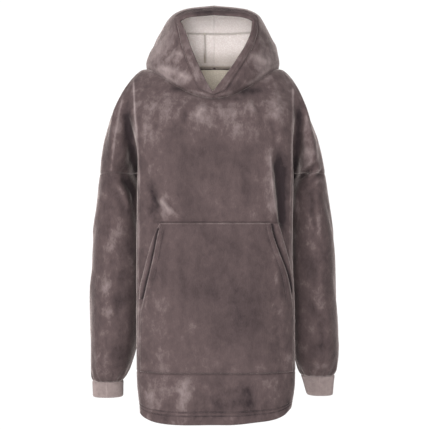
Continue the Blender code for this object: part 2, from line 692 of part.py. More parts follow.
def front_line(points, normals, index_row):
    """Places and normals along the front's half of a lower row."""
    chosen = index_row[:2 * TORSO_COLUMNS + 1]
    return np.array([points[i] for i in chosen]), np.array([normals[i] for i in chosen])


def at_x(line, x):
    """The columns, with fractions, where the front of a row passes x, between its two ridges."""
    low, high = TORSO_STEPS[0], 2 * TORSO_COLUMNS - TORSO_STEPS[0]
    xs = line[low:high + 1, 0]
    return np.interp(x, xs, np.arange(low, high + 1))


def along_line(line, normal, at):
    """Place and normal at columns with fractions, on the straight steps of the row itself."""
    columns = np.arange(len(line))
    place = np.column_stack([np.interp(at, columns, line[:, axis]) for axis in range(3)])
    direction = np.column_stack([np.interp(at, columns, normal[:, axis]) for axis in range(3)])
    return place, direction / np.linalg.norm(direction, axis=1)[:, None]


def grid_faces(rows, columns):
    """Quads between rows of points, each row columns + 1 long."""
    faces = []
    for r in range(rows - 1):
        for c in range(columns):
            a = r * (columns + 1) + c
            b = a + columns + 1
            faces.append((a, b, b + 1, a + 1))
    return faces


def pocket_stand_off(across, z, gape):
    """How far the pocket stands off the front: its belly, and its edges' gape."""
    down = (POCKET_TOP_Z - z) / (POCKET_TOP_Z - POCKET_BOTTOM_Z)
    power = POCKET_UPPER_POWER if down < 0.5 else POCKET_LOWER_POWER
    belly = POCKET_BULGE * max(math.sin(math.pi * down), 0.0) ** power
    side = np.abs(2 * across - 1) ** POCKET_SIDE_POWER
    return belly * (1 - side) + gape * side


def pocket_piece(points, normals, lower_rows):
    """The pocket's panel, from the rows of the front between its top and bottom seams."""
    across = np.linspace(0, 1, POCKET_COLUMNS + 1)
    rows = []
    stand_offs = []
    directions = []
    for z, index in lower_rows.items():
        if not POCKET_BOTTOM_Z <= z <= POCKET_TOP_Z:
            continue
        line, normal = front_line(points, normals, index)
        edge = table_at(POCKET_NAMES, POCKET_ROWS, z, falling=True)
        ends = at_x(line, np.array((-edge["left"], edge["right"])))
        place, direction = along_line(line, normal, ends[0] + (ends[1] - ends[0]) * across)
        rows.append(place)
        directions.append(direction)
        stand_offs.append(pocket_stand_off(across, z, edge["gape"]))
    place = np.vstack(rows)
    direction = np.vstack(directions)
    lift = np.concatenate(stand_offs)[:, None] + POCKET_CLEARANCE + POCKET_WALL
    faces = grid_faces(len(rows), POCKET_COLUMNS)
    return walled(place + direction * lift, direction, faces, 0.0, POCKET_WALL)


def facing_piece(points, normals, lower_rows, side):
    """The strip sewn to the front under one of the pocket's openings."""
    places = []
    directions = []
    zs = [z for z in lower_rows if FACING_BOTTOM_Z <= z <= POCKET_TOP_Z]
    for z in zs:
        line, normal = front_line(points, normals, lower_rows[z])
        edge = table_at(POCKET_NAMES, POCKET_ROWS, z, falling=True)
        down = (POCKET_TOP_Z - z) / (POCKET_TOP_Z - FACING_BOTTOM_Z)
        shows = FACING_SHOWS * (1 - FACING_NARROWING * down)
        if side == "left":
            span = (-edge["left"] - shows, -edge["left"] + FACING_HIDDEN)
        else:
            span = (edge["right"] - FACING_HIDDEN, edge["right"] + shows)
        columns = np.linspace(*at_x(line, np.array(span)), FACING_COLUMNS + 1)
        place, direction = along_line(line, normal, columns)
        if z == zs[0]:
            drop = (FACING_TOP_Z - POCKET_TOP_Z) / (zs[1] - zs[0])
            lower_line, lower_normal = front_line(points, normals, lower_rows[zs[1]])
            lower_place, lower_direction = along_line(lower_line, lower_normal, columns)
            place = place * (1 - drop) + lower_place * drop
            direction = direction * (1 - drop) + lower_direction * drop
        places.append(place)
        directions.append(direction)
    place = np.vstack(places)
    direction = np.vstack(directions)
    faces = grid_faces(len(zs), FACING_COLUMNS)
    lift = FACING_CLEARANCE + FACING_WALL
    return walled(place + direction * lift, direction, faces, 0.0, FACING_WALL)


def add_outer_pieces(collection, skin, points, normals, lower_rows):
    """Body, sleeves, cuffs and the hood's outer panels."""
    outer, inner = depths_of_body(points, lower_rows)
    walls = {"body_front": ("plush", outer, inner), "body_back": ("plush", outer, inner)}
    for side in ("left", "right"):
        walls[f"sleeve_{side}"] = ("plush", 0.0, BODY_WALL)
        walls[f"cuff_{side}"] = ("rib", 0.0, CUFF_WALL)
        walls[f"hood_side_{side}"] = ("plush", 0.0, HOOD_WALL)
        walls[f"hood_band_{side}"] = ("plush", 0.0, BAND_WALL)
    for name, (fabric, outer_depth, inner_depth) in walls.items():
        faces = [face for face, piece in zip(skin.faces, skin.pieces) if piece == name]
        solid = walled(points, normals, faces, outer_depth, inner_depth)
        add_piece(collection, name, *solid, fabric)


def add_hood_inside(collection, skin, points, normals, side):
    """Lining and facing of one half of the hood, a layer gap inside its outer panels."""
    hood_faces = [i for i, piece in enumerate(skin.pieces) if piece.startswith("hood_")]
    lining, facing = [], []
    for order, i in enumerate(hood_faces):
        if skin.pieces[i].endswith(side):
            row = order // RING_COLUMNS
            (lining if row < HOOD_PANEL_ROWS else facing).append(skin.faces[i])
    depth = HOOD_WALL + LAYER_GAP
    for name, faces in ((f"hood_lining_{side}", lining), (f"hood_facing_{side}", facing)):
        solid = walled(points, normals, faces, depth, depth + LINING_WALL)
        add_piece(collection, name, *solid, "sherpa")


def main():
    for obj in list(bpy.data.objects):
        bpy.data.objects.remove(obj, do_unlink=True)
    collection = bpy.data.collections.new(COLLECTION_NAME)
    bpy.context.scene.collection.children.link(collection)

    skin, lower_rows = build_skin()
    plain = np.array(skin.points)
    skin.points = fold_shift(plain, skin.normals(), np.array(skin.sides))
    points = np.array(skin.points)
    normals = skin.normals()

    add_outer_pieces(collection, skin, points, normals, lower_rows)
    for side in ("left", "right"):
        add_hood_inside(collection, skin, points, normals, side)
        solid = facing_piece(points, normals, lower_rows, side)
        add_piece(collection, f"pocket_facing_{side}", *solid, "sherpa")
    add_piece(collection, "pocket", *pocket_piece(points, normals, lower_rows), "plush")


main()
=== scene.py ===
"""Looks of a wearable blanket hoodie, filled out as it hangs on its wearer.

Metres, +Z up, the front faces -Y, the origin is the middle of the neck. Each cloth piece is a thin
shell on its solid's form, made from the same named sections at a finer step. The main creases are
listed in short tables; each finish is built from what the real fabric is, with painted light and shade in its
colours.
"""

import logging
import math
from dataclasses import dataclass, field
from enum import Enum
from functools import partial

import bpy
import numpy as np
from bpy.types import Material, Mesh, Node, NodeSocket, NodeTree, Object
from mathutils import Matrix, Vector, kdtree


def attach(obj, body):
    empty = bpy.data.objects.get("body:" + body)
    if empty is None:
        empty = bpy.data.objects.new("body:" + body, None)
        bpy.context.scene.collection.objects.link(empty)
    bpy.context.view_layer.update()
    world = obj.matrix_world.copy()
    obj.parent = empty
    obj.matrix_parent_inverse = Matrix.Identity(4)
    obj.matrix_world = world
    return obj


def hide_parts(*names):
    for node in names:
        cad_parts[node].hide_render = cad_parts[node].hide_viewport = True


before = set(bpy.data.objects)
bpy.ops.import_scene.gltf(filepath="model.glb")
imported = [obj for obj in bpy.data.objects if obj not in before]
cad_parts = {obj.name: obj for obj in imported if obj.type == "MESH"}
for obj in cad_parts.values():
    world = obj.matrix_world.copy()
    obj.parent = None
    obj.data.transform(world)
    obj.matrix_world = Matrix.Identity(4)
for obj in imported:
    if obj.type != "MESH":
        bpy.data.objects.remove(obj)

Array = np.ndarray
LOG = logging.getLogger("hoodie")
MM = 0.001
SQUARENESS = 2.3
# Further back than this, the inner side shows its own finish right up to its edges
SEEN_EDGES_END_Y = 0.05


class Side(Enum):
    """The viewer's left and right half of the garment."""

    LEFT = "left"
    RIGHT = "right"

    @property
    def sign(self) -> int:
        """Which way x runs on this side."""
        return -1 if self is Side.LEFT else 1


class Facing(Enum):
    """Which way a crease or a brush mark is looked at, and so which two axes place it."""

    FRONT = ("front", 0, 1, -1)
    BACK = ("back", 0, 1, 1)
    LEFT = ("left", 1, 0, -1)
    RIGHT = ("right", 1, 0, 1)

    @property
    def across(self) -> int:
        """The axis that runs across this view."""
        return self.value[1]

    def toward(self, normals: Array) -> Array:
        """The part of each normal that looks this way, from -1 to 1."""
        return normals[:, self.value[2]] * self.value[3]

    def share(self, normals: Array) -> Array:
        """How much each normal looks this way, from 0 to 1."""
        return smooth_step(self.toward(normals), 0.05, 0.55)


def smooth_step(values: Array, low: float, high: float) -> Array:
    """A soft rise from 0 at low to 1 at high."""
    t = np.clip((values - low) / (high - low), 0.0, 1.0)
    return t * t * (3 - 2 * t)


def bell(away: Array, width: float) -> Array:
    """1 where away is 0, falling softly to nothing past about twice the width."""
    return np.exp(-((away / width) ** 2))


def squared_circle(turn: Array) -> tuple[Array, Array]:
    """Across and along a slightly squared circle at each turn, each from -1 to 1."""
    across, along = np.cos(turn), np.sin(turn)
    power = 2 / SQUARENESS
    return np.sign(across) * np.abs(across) ** power, np.sign(along) * np.abs(along) ** power


def hermite(start: Array, leave: Array, end: Array, arrive: Array, t: Array | float) -> Array:
    """A cubic from start to end that leaves and arrives in given directions, at shares t of the way."""
    return (start * (2 * t**3 - 3 * t**2 + 1) + leave * (t**3 - 2 * t**2 + t)
            + end * (3 * t**2 - 2 * t**3) + arrive * (t**3 - t**2))


def unit(vectors: Array) -> Array:
    """The vectors at length one."""
    return vectors / np.maximum(np.linalg.norm(vectors, axis=-1, keepdims=True), 1e-12)


def smooth_curve(knots: Array, values: Array, at: Array) -> Array:
    """A cubic through values at rising knots that doesn't overshoot between them.

    Args:
        knots: rising places.
        values: one row of values for each knot.
        at: the places asked for.

    Returns:
        One row of values for each place.
    """
    at = np.clip(np.atleast_1d(at), knots[0], knots[-1])
    step = np.diff(knots)[:, None]
    slope = np.diff(values, axis=0) / step
    tangent = np.zeros_like(values)
    tangent[0] = slope[0]
    tangent[-1] = slope[-1]
    before, after = slope[:-1], slope[1:]
    same_way = before * after > 0
    tangent[1:-1] = np.divide(2 * before * after, before + after, out=np.zeros_like(before), where=same_way)
    index = np.clip(np.searchsorted(knots, at, side="right") - 1, 0, len(knots) - 2)
    width = step[index]
    t = ((at - knots[index]) / width[:, 0])[:, None]
    return hermite(values[index], width * tangent[index], values[index + 1], width * tangent[index + 1], t)


@dataclass(frozen=True)
class Table:
    """Rows of named sizes in one unit, the first of which says where each row lies."""

    names: tuple[str, ...]
    rows: tuple[tuple[float, ...], ...]
    unit: float = MM

    def along(self, places: Array) -> dict[str, Array]:
        """The named sizes at many places of the first column.

        Args:
            places: values of the first column.

        Returns:
            Each name with its sizes.
        """
        data = np.array(self.rows, float) * self.unit
        data = data[np.argsort(data[:, 0])]
        found = smooth_curve(data[:, 0], data[:, 1:], np.asarray(places, float))
        return {name: found[:, k] for k, name in enumerate(self.names[1:])}

    def at(self, place: float) -> dict[str, float]:
        """The named sizes at one place."""
        return {name: float(sizes[0]) for name, sizes in self.along(np.array([place])).items()}


def closed_spline(keys: Array, steps: tuple[int, ...]) -> Array:
    """Points round a closed line through key points.

    Args:
        keys: the key points.
        steps: how many steps to take from each key point to the next.

    Returns:
        The points in order.
    """
    before, after = np.roll(keys, 1, axis=0), np.roll(keys, -1, axis=0)
    reach_before = np.linalg.norm(keys - before, axis=1)[:, None]
    reach_after = np.linalg.norm(after - keys, axis=1)[:, None]
    direction = ((keys - before) / reach_before * reach_after
                 + (after - keys) / reach_after * reach_before) / (reach_before + reach_after)
    parts = []
    for k, count in enumerate(steps):
        nxt, reach = (k + 1) % len(keys), reach_after[k]
        t = (np.arange(count) / count)[:, None]
        parts.append(hermite(keys[k], direction[k] * reach, keys[nxt], direction[nxt] * reach, t))
    return np.vstack(parts)


def lattice_noise(points: Array, size: float, seed: int) -> Array:
    """Smooth noise from -1 to 1 whose lumps are about one size across.

    Args:
        points: where it is read.
        size: the lumps' size in metres.
        seed: which noise it is.

    Returns:
        One value for each point.
    """
    place = points / size + 512.0
    cell = np.floor(place).astype(np.int64)
    t = place - cell
    t = t * t * t * (t * (t * 6 - 15) + 10)
    total = np.zeros(len(points))
    for corner in range(8):
        step = np.array([(corner >> axis) & 1 for axis in range(3)])
        x, y, z = (cell + step).T
        mixed = (x * 73856093) ^ (y * 19349663) ^ (z * 83492791) ^ (seed * 2654435761)
        mixed = (mixed ^ (mixed >> 13)) * 1274126177 & 0xFFFFFFFF
        mixed = (mixed ^ (mixed >> 16)) & 0xFFFFFF
        total += np.where(step, t, 1 - t).prod(axis=1) * (mixed / 0x7FFFFF - 1.0)
    return total


def cloud(points: Array, size: float, octaves: int, seed: int) -> Array:
    """Noise with finer noise on top, from about -1 to 1."""
    total = np.zeros(len(points))
    for k in range(octaves):
        total += lattice_noise(points, size / 2**k, seed + 17 * k) / 2**k
    return total / (2 - 0.5 ** (octaves - 1))


@dataclass(frozen=True)
class Crumple:
    """Unevenness: how strong, how wide its lumps are in metres, how many layers, and which noise."""

    strength: float
    lump: float
    layers: int
    seed: int

    def at(self, points: Array) -> Array:
        """Its value at each point."""
        return self.strength * cloud(points, self.lump, self.layers, self.seed)


def face_normals_at(points: Array, quads: Array) -> Array:
    """The normal at each point, shared by the four-sided faces that meet there."""
    first, second, third, fourth = (points[quads[:, k]] for k in range(4))
    crossed = unit(np.cross(third - first, fourth - second))
    total = np.zeros_like(points)
    for corner in range(4):
        np.add.at(total, quads[:, corner], crossed)
    return unit(total)


def grid_quads(rows: int, columns: int, closed: bool = False) -> Array:
    """Quads between rows of points that lie one after the other.

    Args:
        rows: how many rows of points.
        columns: how many points in a row.
        closed: whether each row closes on itself.

    Returns:
        Four point indices for each quad.
    """
    row = np.arange(rows - 1)[:, None] * columns
    column = np.arange(columns if closed else columns - 1)[None, :]
    nxt = (column + 1) % columns
    quads = np.stack([row + column, row + columns + column, row + columns + nxt, row + nxt], axis=-1)
    return quads.reshape(-1, 4)


@dataclass(frozen=True)
class Fold:
    """A soft ridge or trough across the cloth, placed by its two ends in one view."""

    facing: Facing
    start: tuple[float, float]
    end: tuple[float, float]
    half_width: float
    height: float
    bend: float = 0.0
    fade: float = 0.35

    def lift(self, points: Array, normals: Array) -> Array:
        """How far the fold moves each point along its normal.

        Args:
            points: the cloth's points.
            normals: their normals.

        Returns:
            One distance for each point.
        """
        start = np.array(self.start)
        way = np.array(self.end) - start
        length = float(np.linalg.norm(way))
        way /= length
        flat = points[:, [self.facing.across, 2]] - start
        run = flat @ way
        middle = self.bend * 4 * np.clip(run / length, 0, 1) * (1 - np.clip(run / length, 0, 1))
        off = flat @ np.array((-way[1], way[0])) - middle
        ends = np.clip(np.minimum(run, length - run) / (self.fade * length) + 0.3, 0, 1)
        strength = ends * ends * (3 - 2 * ends) * bell(off, self.half_width)
        return self.height * strength * self.facing.share(normals)


@dataclass(frozen=True)
class NapAndShadeMark:
    """A lighter or darker patch: some are the nap stroked up and down, some are painted shade where shade
    falls.
    """

    facing: Facing
    centre: tuple[float, float]
    reach: tuple[float, float]
    tone: float

    def tones(self, points: Array, normals: Array) -> Array:
        """The mark's tone at each point."""
        away = (points[:, [self.facing.across, 2]] - np.array(self.centre)) / np.array(self.reach)
        ragged = 1 + Crumple(0.5, 0.03, 3, 41).at(points)
        return self.tone * np.exp(-(away**2).sum(axis=1) * ragged) * self.facing.share(normals)


def folds(facing: Facing, *rows: tuple[float, ...]) -> tuple[Fold, ...]:
    """Folds of one view.

    Args:
        facing: the view.
        rows: for each fold its two ends, half width, height and perhaps bend in mm, and perhaps
            its fade.

    Returns:
        The folds in order.
    """
    made = []
    for row in rows:
        x0, z0, x1, z1, half_width, height, bend = (size * MM for size in (row + (0.0,))[:7])
        made.append(Fold(facing, (x0, z0), (x1, z1), half_width, height, bend, *row[7:]))
    return tuple(made)


def nap_and_shade_marks(facing: Facing, *rows: tuple[float, ...]) -> tuple[NapAndShadeMark, ...]:
    """Nap marks and painted shade of one view, each from its centre and reach in mm and its tone."""
    return tuple(NapAndShadeMark(facing, (x * MM, z * MM), (wide * MM, high * MM), tone)
                 for x, z, wide, high, tone in rows)


def near_edge(points: Array, rim: Array, reach: float) -> Array:
    """Distance from each point to the nearest rim point, or reach where it is further.

    Args:
        points: the piece's points.
        rim: indices of the points on its edge.
        reach: the furthest distance that matters.

    Returns:
        One distance for each point.
    """
    tree = kdtree.KDTree(len(rim))
    for k, index in enumerate(rim):
        tree.insert(Vector(points[index]), k)
    tree.balance()
    low, high = points[rim].min(axis=0) - reach, points[rim].max(axis=0) + reach
    found = np.full(len(points), reach)
    for index in np.nonzero(((points > low) & (points < high)).all(axis=1))[0]:
        found[index] = min(tree.find(Vector(points[index]))[2], reach)
    return found


def open_edges(quads: Array) -> list[tuple[int, int]]:
    """The directed edges that only one quad has."""
    edges = {(int(q[k]), int(q[(k + 1) % 4])) for q in quads for k in range(4)}
    return sorted((a, b) for a, b in edges if (b, a) not in edges)


def linear(hex_colour: str) -> tuple[float, float, float, float]:
    """The linear RGBA of an sRGB hex colour."""
    parts = [int(hex_colour[k:k + 2], 16) / 255 for k in (1, 3, 5)]
    red, green, blue = (c / 12.92 if c <= 0.04045 else ((c + 0.055) / 1.055) ** 2.4 for c in parts)
    return (red, green, blue, 1.0)


def add_node(tree: NodeTree, kind: str, settings: dict | None = None,
             inputs: dict | None = None) -> Node:
    """Adds a node with its settings, its input values and its links.

    Args:
        tree: the node tree.
        kind: the node's type name.
        settings: properties of the node.
        inputs: by the input's name or number a value, an output socket, or a node whose first
            output is meant.

    Returns:
        The node.
    """
    node = tree.nodes.new(kind)
    for name, value in (settings or {}).items():
        setattr(node, name, value)
    for name, value in (inputs or {}).items():
        if isinstance(value, (Node, NodeSocket)):
            tree.links.new(value.outputs[0] if isinstance(value, Node) else value, node.inputs[name])
        else:
            node.inputs[name].default_value = value
    return node


def new_material(name: str, settings: dict) -> tuple[Material, NodeTree, Node]:
    """A material with its tree and its Principled shader.

    Args:
        name: the material's name.
        settings: values of the shader's own inputs.

    Returns:
        Material, tree and shader.
    """
    material = bpy.data.materials.new(name)
    material.use_nodes = True
    shader = material.node_tree.nodes["Principled BSDF"]
    for label, value in settings.items():
        shader.inputs[label].default_value = value
    return material, material.node_tree, shader


@dataclass(frozen=True)
class PlushFinish:
    """Brushed flannel fleece: a polyester knit with a dense nap about 2 mm long.

    The nap leans where it was last stroked, so the eye sees soft lighter and darker marks, a fine
    grain, and a pale rim wherever the cloth turns away.
    """

    name: str
    dark: str
    middle: str
    light: str
    cloud_mm: float = 46.0
    mark_mm: float = 13.0
    grain_mm: float = 2.2
    sheen: float = 0.55
    sheen_colour: str = "#cdbfbb"

    def build(self) -> Material:
        """The material, which reads the piece's nap and brushed attributes; the nap attribute also carries
        painted light and shade.
        """
        material, tree, shader = new_material(self.name, {
            "Roughness": 0.9, "Specular IOR Level": 0.2, "Sheen Weight": self.sheen,
            "Sheen Roughness": 0.35, "Sheen Tint": linear(self.sheen_colour)})
        add = partial(add_node, tree)
        place = add("ShaderNodeTexCoord").outputs["Object"]
        nap = add("ShaderNodeAttribute", {"attribute_name": "nap"}).outputs["Fac"]
        brushed = add("ShaderNodeAttribute", {"attribute_name": "brushed"}).outputs["Fac"]
        large = add("ShaderNodeTexNoise", {}, {
            "Vector": place, "Scale": 1 / (self.cloud_mm * MM), "Detail": 4.0, "Distortion": 0.3})
        drawn = add("ShaderNodeMapping", {}, {"Vector": place, "Scale": (1.0, 1.0, 0.7)})
        marks = add("ShaderNodeTexNoise", {}, {
            "Vector": drawn, "Scale": 1 / (self.mark_mm * MM), "Detail": 3.0, "Roughness": 0.55,
            "Distortion": 0.35})
        stretched = add("ShaderNodeMapping", {}, {"Vector": place, "Scale": (1.0, 1.0, 0.45)})
        grain = add("ShaderNodeTexNoise", {}, {
            "Vector": stretched, "Scale": 1 / (self.grain_mm * MM), "Detail": 2.0})
        both = add("ShaderNodeMath", {"operation": "MULTIPLY_ADD"}, {
            0: large.outputs["Fac"], 1: 1.0, 2: marks.outputs["Fac"]})
        centred = add("ShaderNodeMath", {"operation": "SUBTRACT"}, {0: both, 1: 1.0})
        brushing = add("ShaderNodeMath", {"operation": "MULTIPLY"}, {
            0: centred, 1: brushed})
        tone = add("ShaderNodeMath", {"operation": "MULTIPLY_ADD"}, {
            0: nap, 1: 0.5, 2: 0.44})
        mixed = add("ShaderNodeMath", {"operation": "ADD"}, {
            0: tone, 1: brushing})
        fine = add("ShaderNodeMath", {"operation": "MULTIPLY_ADD"}, {
            0: grain.outputs["Fac"], 1: 0.22, 2: mixed})
        shifted = add("ShaderNodeMath", {"operation": "SUBTRACT", "use_clamp": True}, {
            0: fine, 1: 0.11})
        ramp = add("ShaderNodeValToRGB", {}, {"Fac": shifted})
        ramp.color_ramp.elements[0].color = linear(self.dark)
        ramp.color_ramp.elements[1].color = linear(self.light)
        ramp.color_ramp.elements.new(0.5).color = linear(self.middle)
        height = add("ShaderNodeMath", {"operation": "MULTIPLY_ADD"}, {
            0: marks.outputs["Fac"], 1: 1.4, 2: grain.outputs["Fac"]})
        bump = add("ShaderNodeBump", {}, {
            "Strength": 0.55, "Distance": 1.2 * MM, "Height": height})
        tree.links.new(ramp.outputs["Color"], shader.inputs["Base Color"])
        tree.links.new(bump.outputs[0], shader.inputs["Normal"])
        return material


@dataclass(frozen=True)
class SherpaFinish:
    """Sherpa: a knit whose pile is tumbled into curls of 3 to 5 mm, seen as pale round lumps."""

    name: str
    shade: str
    light: str
    # Colour of painted shade, mixed in by the nap attribute along seams and low inside the hood
    seam: str = "#857b70"
    shade_strength: float = -1.0
    curl_mm: float = 3.6

    def build(self) -> Material:
        """The material: painted shade darkens the hollows between the curls and, by the nap attribute, the
        seams and the low inside of the hood.
        """
        material, tree, shader = new_material(self.name, {
            "Roughness": 0.95, "Specular IOR Level": 0.15, "Sheen Weight": 0.25, "Sheen Roughness": 0.5})
        add = partial(add_node, tree)
        place = add("ShaderNodeTexCoord").outputs["Object"]
        bent = add("ShaderNodeTexNoise", {}, {
            "Vector": place, "Scale": 1 / (6 * MM), "Detail": 2.0})
        nudged = add("ShaderNodeVectorMath", {"operation": "MULTIPLY_ADD"}, {
            0: bent.outputs["Color"], 1: (0.003, 0.003, 0.003), 2: place})
        curls = add("ShaderNodeTexVoronoi", {}, {
            "Vector": nudged, "Scale": 1 / (self.curl_mm * MM), "Detail": 1.0})
        fluff = add("ShaderNodeTexNoise", {}, {
            "Vector": place, "Scale": 1 / (1.1 * MM), "Detail": 2.0})
        ramp = add("ShaderNodeValToRGB", {}, {"Fac": curls.outputs["Distance"]})
        ramp.color_ramp.elements[0].color = linear(self.light)
        ramp.color_ramp.elements[1].color = linear(self.shade)
        ramp.color_ramp.elements[1].position = 0.85
        height = add("ShaderNodeMath", {"operation": "MULTIPLY_ADD"}, {
            0: curls.outputs["Distance"], 1: -1.2, 2: fluff.outputs["Fac"]})
        bump = add("ShaderNodeBump", {}, {
            "Strength": 0.6, "Distance": 1.4 * MM, "Height": height})
        nap = add("ShaderNodeAttribute", {"attribute_name": "nap"}).outputs["Fac"]
        shaded = add("ShaderNodeMath", {"operation": "MULTIPLY", "use_clamp": True}, {
            0: nap, 1: self.shade_strength})
        mix = add("ShaderNodeMix", {"data_type": "RGBA"}, {
            0: shaded, 6: ramp.outputs["Color"], 7: linear(self.seam)})
        tree.links.new(mix.outputs[2], shader.inputs["Base Color"])
        tree.links.new(bump.outputs[0], shader.inputs["Normal"])
        return material


@dataclass(frozen=True)
class RibFinish:
    """Rib knit: smooth vertical wales of fine polyester yarn, with stitches about 1.4 mm high."""

    name: str
    shade: str
    light: str
    stitch_mm: float = 1.4

    def build(self) -> Material:
        """The material, whose stitches run along the ribs that the mesh has."""
        material, tree, shader = new_material(self.name, {
            "Roughness": 0.85, "Specular IOR Level": 0.25, "Sheen Weight": 0.2})
        add = partial(add_node, tree)
        place = add("ShaderNodeTexCoord").outputs["Object"]
        rib = add("ShaderNodeAttribute", {"attribute_name": "rib"}).outputs["Fac"]
        stitches = add("ShaderNodeTexWave", {"bands_direction": "Z"}, {
            "Vector": place, "Scale": 0.314 / (self.stitch_mm * MM), "Distortion": 1.5, "Detail": 1.0})
        fibre = add("ShaderNodeTexNoise", {}, {
            "Vector": place, "Scale": 1 / (9 * MM), "Detail": 3.0})
        # Painted shade: the ribs' valleys take the shade colour and their crests the light one
        tone = add("ShaderNodeMath", {"operation": "MULTIPLY_ADD"}, {
            0: rib, 1: 0.55, 2: fibre.outputs["Fac"]})
        ramp = add("ShaderNodeValToRGB", {}, {"Fac": tone})
        ramp.color_ramp.elements[0].color = linear(self.shade)
        ramp.color_ramp.elements[0].position = 0.3
        ramp.color_ramp.elements[1].color = linear(self.light)
        ramp.color_ramp.elements[1].position = 0.95
        bump = add("ShaderNodeBump", {}, {
            "Strength": 0.35, "Distance": 0.5 * MM, "Height": stitches.outputs["Fac"]})
        tree.links.new(ramp.outputs["Color"], shader.inputs["Base Color"])
        tree.links.new(bump.outputs[0], shader.inputs["Normal"])
        return material


@dataclass(frozen=True)
class ThreadFinish:
    """Spun polyester sewing thread: two plies, slightly glossy, in the plush's own colour."""

    name: str
    colour: str
    ply_mm: float = 0.5

    def build(self) -> Material:
        """The material, with a faint twist in its colour."""
        material, tree, shader = new_material(self.name, {"Roughness": 0.55})
        add = partial(add_node, tree)
        place = add("ShaderNodeTexCoord").outputs["Object"]
        twist = add("ShaderNodeTexWave", {"bands_direction": "DIAGONAL"}, {
            "Vector": place, "Scale": 0.314 / (self.ply_mm * MM)})
        mix = add("ShaderNodeMix", {"data_type": "RGBA", "blend_type": "MULTIPLY"}, {
            0: 0.3, 6: linear(self.colour), 7: twist.outputs["Color"]})
        tree.links.new(mix.outputs[2], shader.inputs["Base Color"])
        return material


@dataclass(frozen=True)
class FloorFinish:
    """Matt studio paper: almost white, with no gloss."""

    name: str
    colour: str

    def build(self) -> Material:
        """The material."""
        return new_material(self.name, {"Base Color": linear(self.colour), "Roughness": 1.0})[0]


@dataclass(frozen=True)
class BackdropFinish:
    """White backdrop that its own lamps light evenly, so that it shines as one plain surface."""

    name: str
    colour: str
    strength: float

    def build(self) -> Material:
        """The material."""
        return new_material(self.name, {
            "Base Color": linear("#000000"), "Emission Color": linear(self.colour),
            "Emission Strength": self.strength})[0]


@dataclass
class Finishes:
    """The garment's materials, built once."""

    plush: Material = field(default_factory=lambda: PlushFinish(
        "brushed_flannel_fleece", "#20181a", "#463a3a", "#786c6b").build())
    sherpa: Material = field(default_factory=lambda: SherpaFinish(
        "curled_sherpa", "#e2d8d5", "#faf6f4").build())
    backing: Material = field(default_factory=lambda: SherpaFinish(
        "sherpa_of_body", "#c4baac", "#e2dacc", shade_strength=0.0).build())
    rib: Material = field(default_factory=lambda: RibFinish(
        "rib_knit", "#5f5351", "#7f7270").build())
    thread: Material = field(default_factory=lambda: ThreadFinish(
        "sewing_thread", "#4e4242").build())


def make_object(name: str, mesh: Mesh) -> Object:
    """Links a mesh into the scene as an object at the origin."""
    obj = bpy.data.objects.new(name, mesh)
    bpy.context.scene.collection.objects.link(obj)
    return obj


def cloth_object(name: str, outer: Array, inner: Array, quads: Array,
                 materials: tuple[Material, Material],
                 values: dict[str, Array]) -> Object:
    """A closed shell of cloth from its outer and its inner side.

    Args:
        name: the piece's name.
        outer: points of the outer side.
        inner: points of the inner side, one for each outer point.
        quads: faces of the outer side.
        materials: the outer and the inner finish.
        values: attributes for the finishes, one value for each outer point.

    Returns:
        The object.
    """
    used, compact = np.unique(quads, return_inverse=True)
    quads = compact.reshape(-1, 4)
    count = len(used)
    rim = open_edges(quads)
    faces = [tuple(map(int, q)) for q in quads]
    faces += [tuple(int(count + i) for i in q[::-1]) for q in quads]
    faces += [(b, a, count + a, count + b) for a, b in rim]
    mesh = bpy.data.meshes.new(name)
    mesh.from_pydata(np.vstack([outer[used], inner[used]]).tolist(), [], faces)
    for material in materials:
        mesh.materials.append(material)
    index = np.zeros(len(faces), np.int32)
    index[len(quads):2 * len(quads)] = 1
    beside = np.isin(quads, np.unique(np.array(rim))).any(axis=1)
    beside &= outer[used][quads[:, 0], 1] < SEEN_EDGES_END_Y
    index[len(quads):2 * len(quads)][beside] = 0
    mesh.polygons.foreach_set("material_index", index)
    for key, value in values.items():
        layer = mesh.attributes.new(key, "FLOAT", "POINT")
        chosen = np.broadcast_to(value, len(outer))[used].astype(np.float32)
        layer.data.foreach_set("value", np.concatenate([chosen, chosen]))
    mesh.shade_smooth()
    return make_object(name, mesh)


def declare(obj: Object, nodes: tuple[str, ...]) -> None:
    """Hangs a piece on the root, hides the nodes it stands for, and logs its faces."""
    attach(obj, "root")
    if nodes:
        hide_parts(*nodes)
    LOG.info("%s: %d faces", obj.name, len(obj.data.polygons))


@dataclass(frozen=True)
class Cut:
    """How one piece of cloth was cut, in metres, and how it is held in the garment.

    Sizes are the longest level and upright cuts through the made piece, with about 10 mm added for
    each seam. Cuffs and the pocket's strips give nearly the made piece's own area.
    """

    piece: str
    flat: tuple[float, float]
    area: float
    held: str
    rests_on: tuple[str, ...] = ()
    goes_with: tuple[str, ...] = ()

    def state(self) -> None:
        """Does nothing with the cut."""


